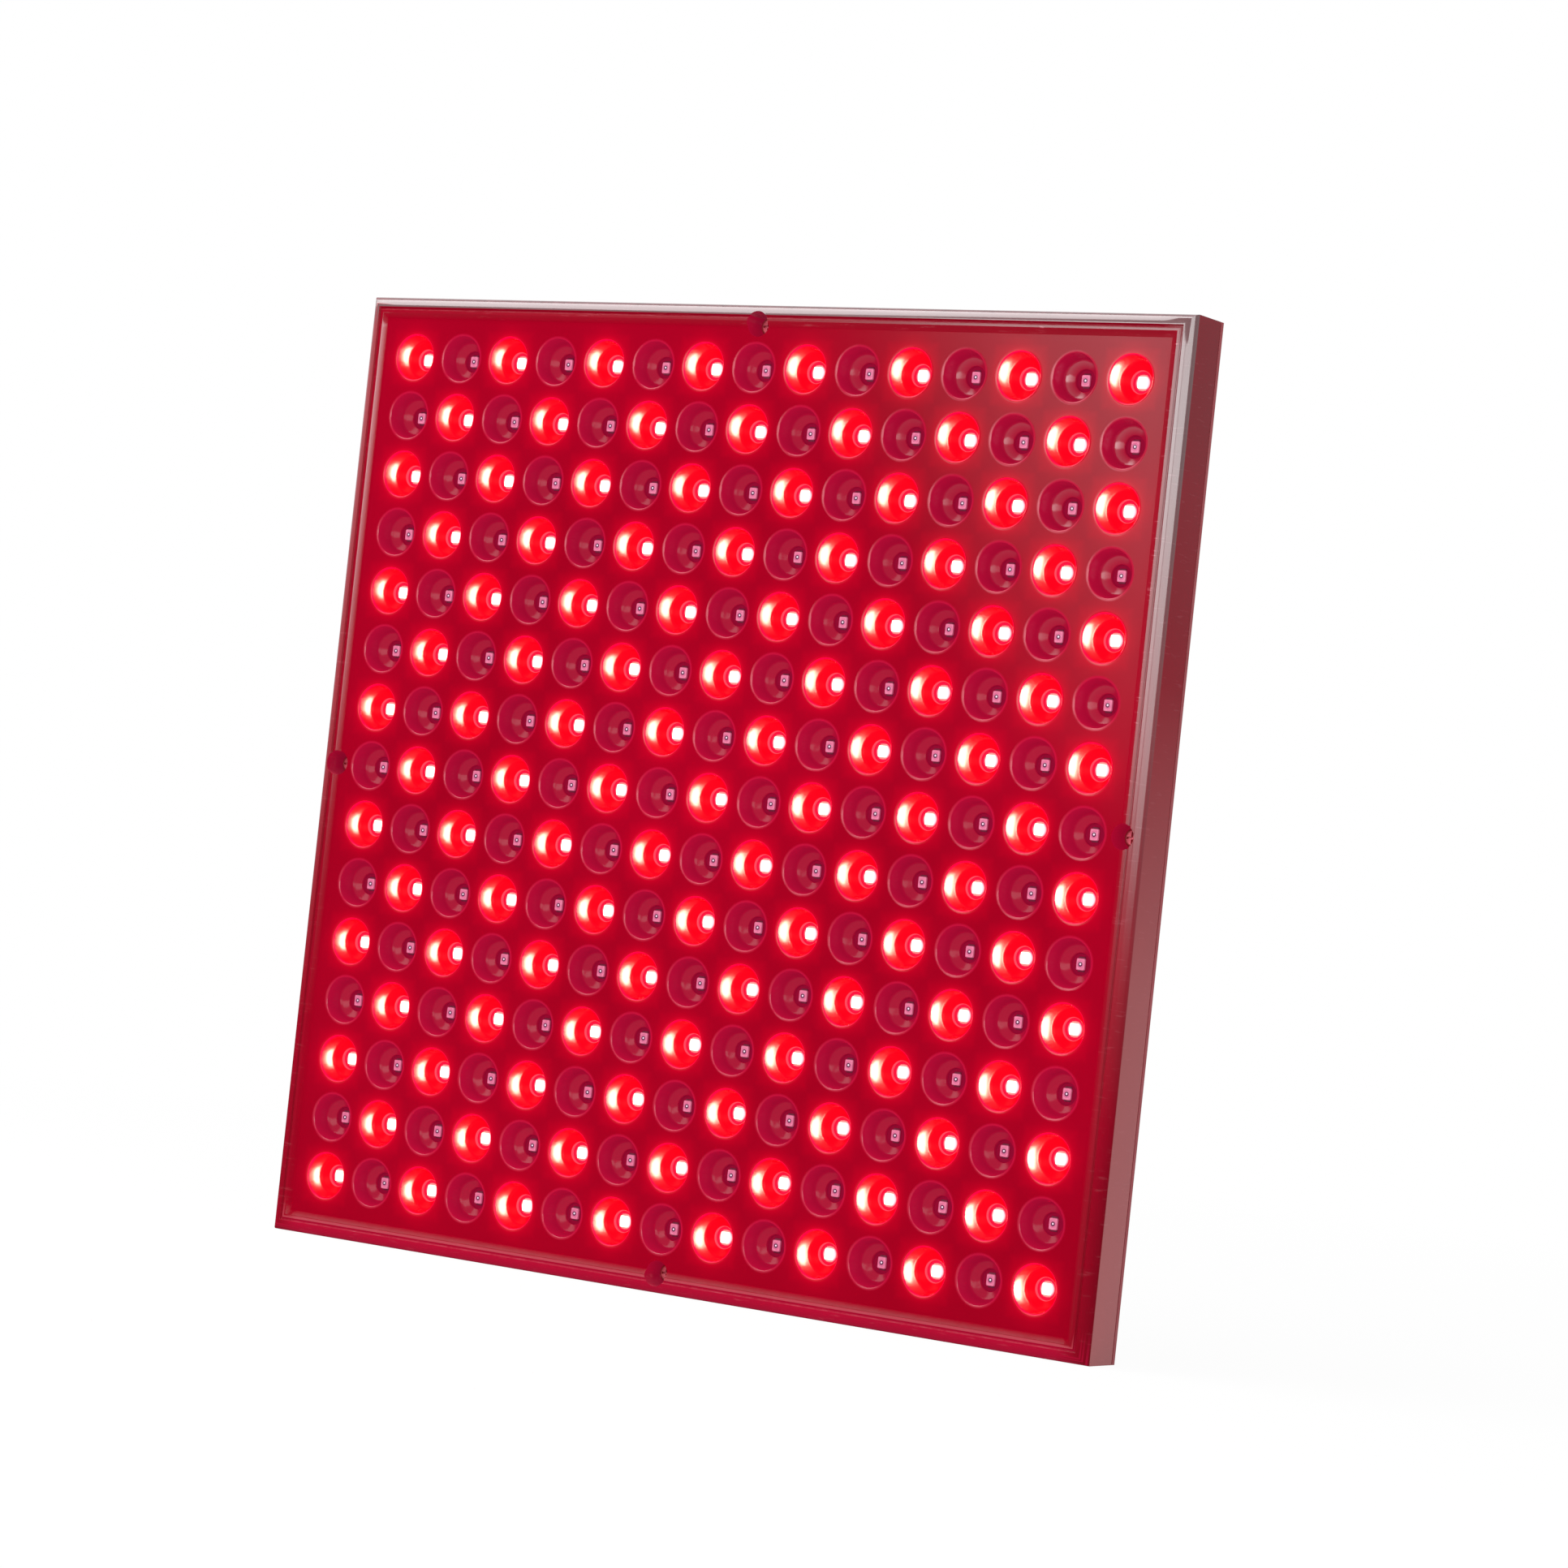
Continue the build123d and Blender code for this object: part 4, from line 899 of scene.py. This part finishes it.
# %% Plastic of the lit cups
lit_finish = finish(
    "lit_cup_plastic", grain_group,
    tones((0.25, 0.0, 0.006), (0.22, 0.0, 0.006), 0.26, 0.04, Patch_Scale=60.0, Grain_Scale=1800.0),
    {"Specular IOR Level": 0.0, "Coat Roughness": 0.22, "Emission Strength": 1.0}, bump=0.04)
tree = lit_finish.node_tree
# The lit bowls are painted with their emitter's red light, with a painted magenta highlight along the mouth's lip
# and a painted pink highlight round the neck's edge.
glow = mix_colors(tree, mark(tree, "cup_mouth"), (1.0, 0.0, 0.003, 1), (0.87, 0.0, 0.08, 1))
glow = mix_colors(tree, mark(tree, "neck_edge"), glow, (1.0, 0.1, 0.14, 1))
feed(tree, "Emission Color", glow)
feed(tree, "Coat Weight", mark(tree, "polish"))
for material in (shell_finish, lit_finish):
    moulding_mesh.materials.append(material)
print("lit cups done")

# %% [markdown]
# The emitters' finish
#
# A lit emitter is far brighter than anything else in the picture, so its package and window read as one white
# shape with a pink edge, and it lights its own cup. The dark ones work in infrared, which a camera hardly
# sees: a pink frame round a dark purple window with one bright point in it, which is a painted highlight.

# %% Emitters
def glowing(name, color, glow_color, glow_strength, seen_strength=None, roughness=0.4):
    """A finish that gives off light. A camera's sensor saturates, so it may see less than falls on things."""
    pattern = tones(color, [0.9 * part for part in color], roughness, 0.03, Patch_Scale=900.0)
    material = finish(name, grain_group, pattern, {
        "Emission Color": (*glow_color, 1), "Emission Strength": glow_strength}, bump=0.03)
    if seen_strength is not None:
        tree = material.node_tree
        seen = node(tree, "LightPath").outputs["Is Camera Ray"]
        feed(tree, "Emission Strength", spread(tree, seen, 0.0, 1.0, glow_strength, seen_strength))
    return material


lit_package = glowing("lit_package", (0.85, 0.2, 0.2), (1.0, 0.6, 0.42), 70.0, 3.0)
lit_pads = glowing("lit_pads", (0.4, 0.0, 0.01), (1.0, 0.2, 0.18), 6.0, 1.4)
lit_window = glowing("lit_window", (0.9, 0.8, 0.75), (1.0, 0.68, 0.48), 90.0, 4.0, roughness=0.2)
lit_chip = glowing("lit_chip", (0.9, 0.8, 0.7), (1.0, 0.75, 0.6), 90.0, 4.0)
dark_package = glowing("dark_package", (0.6, 0.16, 0.27), (0.5, 0.1, 0.24), 0.3)
dark_pads = glowing("dark_pads", (0.12, 0.01, 0.03), (0.1, 0.0, 0.02), 0.3)
dark_chip = glowing("dark_chip", (0.9, 0.7, 0.8), (1.0, 0.75, 0.9), 1.6)
dark_window = finish(
    "dark_window", grain_group,
    tones((0.09, 0.012, 0.045), (0.05, 0.008, 0.03), 0.12, 0.03, Patch_Scale=700.0),
    {"Specular IOR Level": 0.15, "Emission Strength": 1.0})
tree = dark_window.node_tree
in_cup_place = place_group(tree, cup_group).outputs
at_cavity_wall = spread(tree, in_cup_place["Distance"], 0.62 * MM, 0.8 * MM)
window_tone = mix_colors(tree, at_cavity_wall, tree.nodes["pattern"].outputs["Color"], (0.55, 0.15, 0.26, 1))
window_glow = mix_colors(tree, at_cavity_wall, (0.03, 0.001, 0.015, 1), (0.12, 0.02, 0.06, 1))
# Painted highlight: a small spot just above the window's middle gives off near-white light, as a glint on the
# dome.
in_dot = spread(tree, in_cup_place["Dot Distance"], 0.24 * MM, 0.36 * MM, 1.0, 0.0)
feed(tree, "Base Color", window_tone)
feed(tree, "Emission Color", mix_colors(tree, in_dot, window_glow, (1.0, 0.8, 0.95, 1)))
for piece, materials in (
        (red_packages, (lit_package, lit_pads)), (red_windows, (lit_window, lit_chip)),
        (infrared_packages, (dark_package, dark_pads)), (infrared_windows, (dark_window, dark_chip))):
    for material in materials:
        piece.data.materials.append(material)
print("emitters done")

# %% [markdown]
# The other finishes
#
# The back cover is a grained plastic. The rings and the inlet's pins are nickel plated, and screws, clips
# and rivets are zinc plated. The inlet and the switch are black plastic. The power supply's parts are
# inside, but they show through the vents, and when the model is opened. Finishes that differ only in their
# numbers stand in tables: the name, two tones, the roughness and its change, the bump's strength, the
# shader's own sockets, and the pieces.

# %% Back cover
cover_finish = finish(
    "cover_plastic", grain_group,
    tones((0.235, 0.028, 0.036), (0.21, 0.022, 0.03), 0.48, 0.06, Patch_Scale=7.0, Grain_Scale=1500.0),
    {"Specular IOR Level": 0.4}, bump=0.35, bump_distance=0.06 * MM,
    dust={"Dust Color": (0.45, 0.25, 0.26, 1), "Dust": 0.3, "Scuffs": 0.08})
dress(cover_finish, "back_cover")
print("back cover done")

# %% Emitter board
board_finish = finish(
    "board_mask", grain_group, tones((0.16, 0.003, 0.02), (0.14, 0.003, 0.018), 0.4, 0.05, Patch_Scale=60.0),
    {"Specular IOR Level": 0.0, "Emission Strength": 1.0}, bump=0.05)
tree = board_finish.node_tree
in_cup_place = place_group(tree, cup_group).outputs
# Painted light: the board is painted to glow red in the lit cups, near white close to the emitter, faintly in the
# dark cups, and not at all behind.
near_emitter = spread(tree, in_cup_place["Distance"], 1.9 * MM, 2.5 * MM, 1.0, 0.0)
lit_glow = mix_colors(tree, near_emitter, (1.0, 0.0, 0.007, 1), (1.0, 0.85, 0.8, 1))
board_glow = mix_colors(tree, in_cup_place["Lit"], (0.12, 0.001, 0.012, 1), lit_glow)
depth_here = node(tree, "SeparateXYZ", {0: place_on(tree)}).outputs["Y"]
behind = spread(tree, depth_here, board_y + 0.1 * MM, board_y + 0.3 * MM)
feed(tree, "Emission Color", mix_colors(tree, behind, board_glow, no_light))
dress(board_finish, "emitter_board")
print("emitter board done")

# %% Metals
metal = {"Metallic": 1.0}
zinc_finishes = [
    ("zinc_plate", (0.55, 0.56, 0.58), (0.42, 0.43, 0.46), 0.34, 0.1, 0.08, metal,
     ("board_screws", "cover_screws", "ring_clips", "clip_rivets", "inlet_screws", "inlet_nuts",
      "driver_screws")),
    ("zinc_in_red_light", (0.55, 0.12, 0.15), (0.4, 0.07, 0.1), 0.5, 0.1, 0.08, metal, ("front_screws",)),
]
metal_finishes = [
    ("nickel_plate", (0.72, 0.69, 0.64), (0.62, 0.6, 0.56), 0.2, 0.07, 0.05, metal,
     ("hanging_ring_top_left", "hanging_ring_top_right", "hanging_ring_bottom_left",
      "hanging_ring_bottom_right", "inlet_pins", "switch_blades", "fuse_caps")),
    ("turned_brass", (0.66, 0.46, 0.19), (0.55, 0.36, 0.14), 0.3, 0.08, 0.1, metal, ("cover_inserts",)),
    ("bare_aluminium", (0.62, 0.62, 0.64), (0.54, 0.54, 0.56), 0.38, 0.08, 0.15, metal, ("heat_sink",)),
    ("enamelled_copper", (0.55, 0.2, 0.07), (0.42, 0.13, 0.05), 0.28, 0.08, 0.1,
     {"Metallic": 0.9, "Coat Weight": 0.5, "Coat Roughness": 0.15}, ("transformer_winding", "line_choke")),
]
dress_by_table(zinc_finishes, plating_group, Cloud_Scale=500.0)
dress_by_table(metal_finishes, plating_group)

# %% Plastics and the rest
plain_finishes = [
    ("black_plastic", (0.018, 0.018, 0.019), (0.024, 0.023, 0.024), 0.36, 0.06, 0.12, {},
     ("inlet_body", "switch_housing", "bridge_rectifier", "power_transistor")),
    ("rocker_plastic", (0.022, 0.021, 0.022), (0.03, 0.028, 0.028), 0.3, 0.05, 0.1, {"Coat Weight": 0.2},
     ("switch_rocker",)),
    ("terminal_plastic", (0.02, 0.12, 0.045), (0.016, 0.1, 0.04), 0.42, 0.05, 0.1, {},
     ("input_terminal", "output_terminal", "board_socket")),
    ("film_plastic", (0.5, 0.3, 0.03), (0.45, 0.26, 0.03), 0.38, 0.05, 0.1, {}, ("film_capacitor",)),
    ("can_sleeve", (0.01, 0.014, 0.05), (0.014, 0.018, 0.06), 0.25, 0.05, 0.05, {"Coat Weight": 0.3},
     ("bulk_capacitor", "output_capacitors")),
    ("driver_laminate", (0.3, 0.19, 0.06), (0.26, 0.16, 0.05), 0.5, 0.06, 0.2, {}, ("driver_board",)),
    ("ferrite", (0.022, 0.021, 0.021), (0.03, 0.028, 0.027), 0.6, 0.08, 0.3, {}, ("transformer_core",)),
    ("ceramic_chip", (0.015, 0.015, 0.016), (0.03, 0.03, 0.032), 0.25, 0.05, 0.05, {}, ("board_resistors",)),
    ("lead_jacket", (0.3, 0.02, 0.015), (0.26, 0.016, 0.012), 0.5, 0.05, 0.1, {},
     ("mains_leads", "output_leads")),
    ("insulating_card", (0.4, 0.33, 0.22), (0.34, 0.28, 0.18), 0.75, 0.08, 0.4, {}, ("insulation_sheet",)),
    ("fuse_glass", (0.9, 0.95, 0.95), (0.88, 0.93, 0.93), 0.05, 0.02, 0.0,
     {"Transmission Weight": 1.0, "IOR": 1.5}, ("fuse_tube",)),
]
dress_by_table(plain_finishes, grain_group, Patch_Scale=60.0)

# %% [markdown]
# The studio
#
# The panel stands on a white floor in front of nothing. The camera sees the floor and the surroundings as
# plain white through the Light Path node, so that the panel itself can be lit at an ordinary level. The
# floor keeps a trace of the panel's shadow. Three soft lamps draw the highlights on the beads and in the
# cups, each in its own shape: a wide, low one in front and a little to the left, another of that kind at
# the right, and a large one at the upper left.

# %% Floor and surroundings
def seen_directly(tree):
    """1 for rays from the camera, from gloss and through glass, and 0 for the light that falls on things."""
    path = node(tree, "LightPath").outputs
    both = arithmetic(tree, "MAXIMUM", path["Is Camera Ray"], path["Is Glossy Ray"])
    return arithmetic(tree, "MAXIMUM", both, path["Is Transmission Ray"])


floor_half = 6.0
floor_corners = [(x * floor_half, y * floor_half, 0) for x, y in ((-1, -1), (1, -1), (1, 1), (-1, 1))]
floor_mesh = bpy.data.meshes.new("floor")
floor_mesh.from_pydata(floor_corners, [], [(0, 1, 2, 3)])
floor_finish = bpy.data.materials.new("floor_white")
floor_finish.use_nodes = True
floor_mesh.materials.append(floor_finish)
into_scene("floor", floor_mesh)

tree = floor_finish.node_tree
tree.nodes.clear()
shadow_near, shadow_far, shadow_share = 0.25, 0.9, 0.04
paint = node(tree, "BsdfDiffuse", {"Color": (0.8, 0.8, 0.8, 1)}).outputs[0]
white = node(tree, "Emission", {"Color": (1, 1, 1, 1), "Strength": 1.0}).outputs[0]
away = node(tree, "VectorMath", {0: place_on(tree)}, operation="LENGTH").outputs["Value"]
painted = spread(tree, away, shadow_near, shadow_far, shadow_share, 0.0)
veil = node(tree, "MixShader", {0: painted, 1: white, 2: paint}).outputs[0]
chosen = node(tree, "MixShader", {0: seen_directly(tree), 1: paint, 2: veil}).outputs[0]
node(tree, "OutputMaterial", {"Surface": chosen})

world = bpy.data.worlds.new("surroundings")
bpy.context.scene.world = world
world.use_nodes = True
tree = world.node_tree
tree.nodes.clear()
level = spread(tree, seen_directly(tree), 0.0, 1.0, 0.3, 1.0)
around = node(tree, "Background", {"Color": (1, 1, 1, 1), "Strength": level}).outputs[0]
node(tree, "OutputWorld", {"Surface": around})
print("floor and surroundings done")

# %% Lamps
def softbox(name, azimuth, elevation, distance, width, height, brightness):
    """A rectangular lamp that points at the panel, placed by its direction from the panel's middle."""
    target = Vector((0, 0, middle_z))
    place = target + away_from_panel(math.radians(azimuth), math.radians(elevation), distance)
    lamp = bpy.data.lights.new(name, "AREA")
    lamp.shape = "RECTANGLE"
    lamp.size, lamp.size_y = width, height
    lamp.energy = brightness * math.pi * width * height
    holder = into_scene(name, lamp)
    holder.location = place
    holder.rotation_euler = (target - place).to_track_quat("-Z", "Y").to_euler()
    holder.visible_camera = False


softbox("front_lamp", -10.0, 10.0, 1.5, 1.1, 0.45, 5.7)
softbox("right_lamp", 50.0, 10.0, 1.1, 1.5, 0.4, 5.0)
softbox("top_lamp", -56.0, 49.0, 1.3, 1.0, 1.3, 5.7)
print("three lamps")
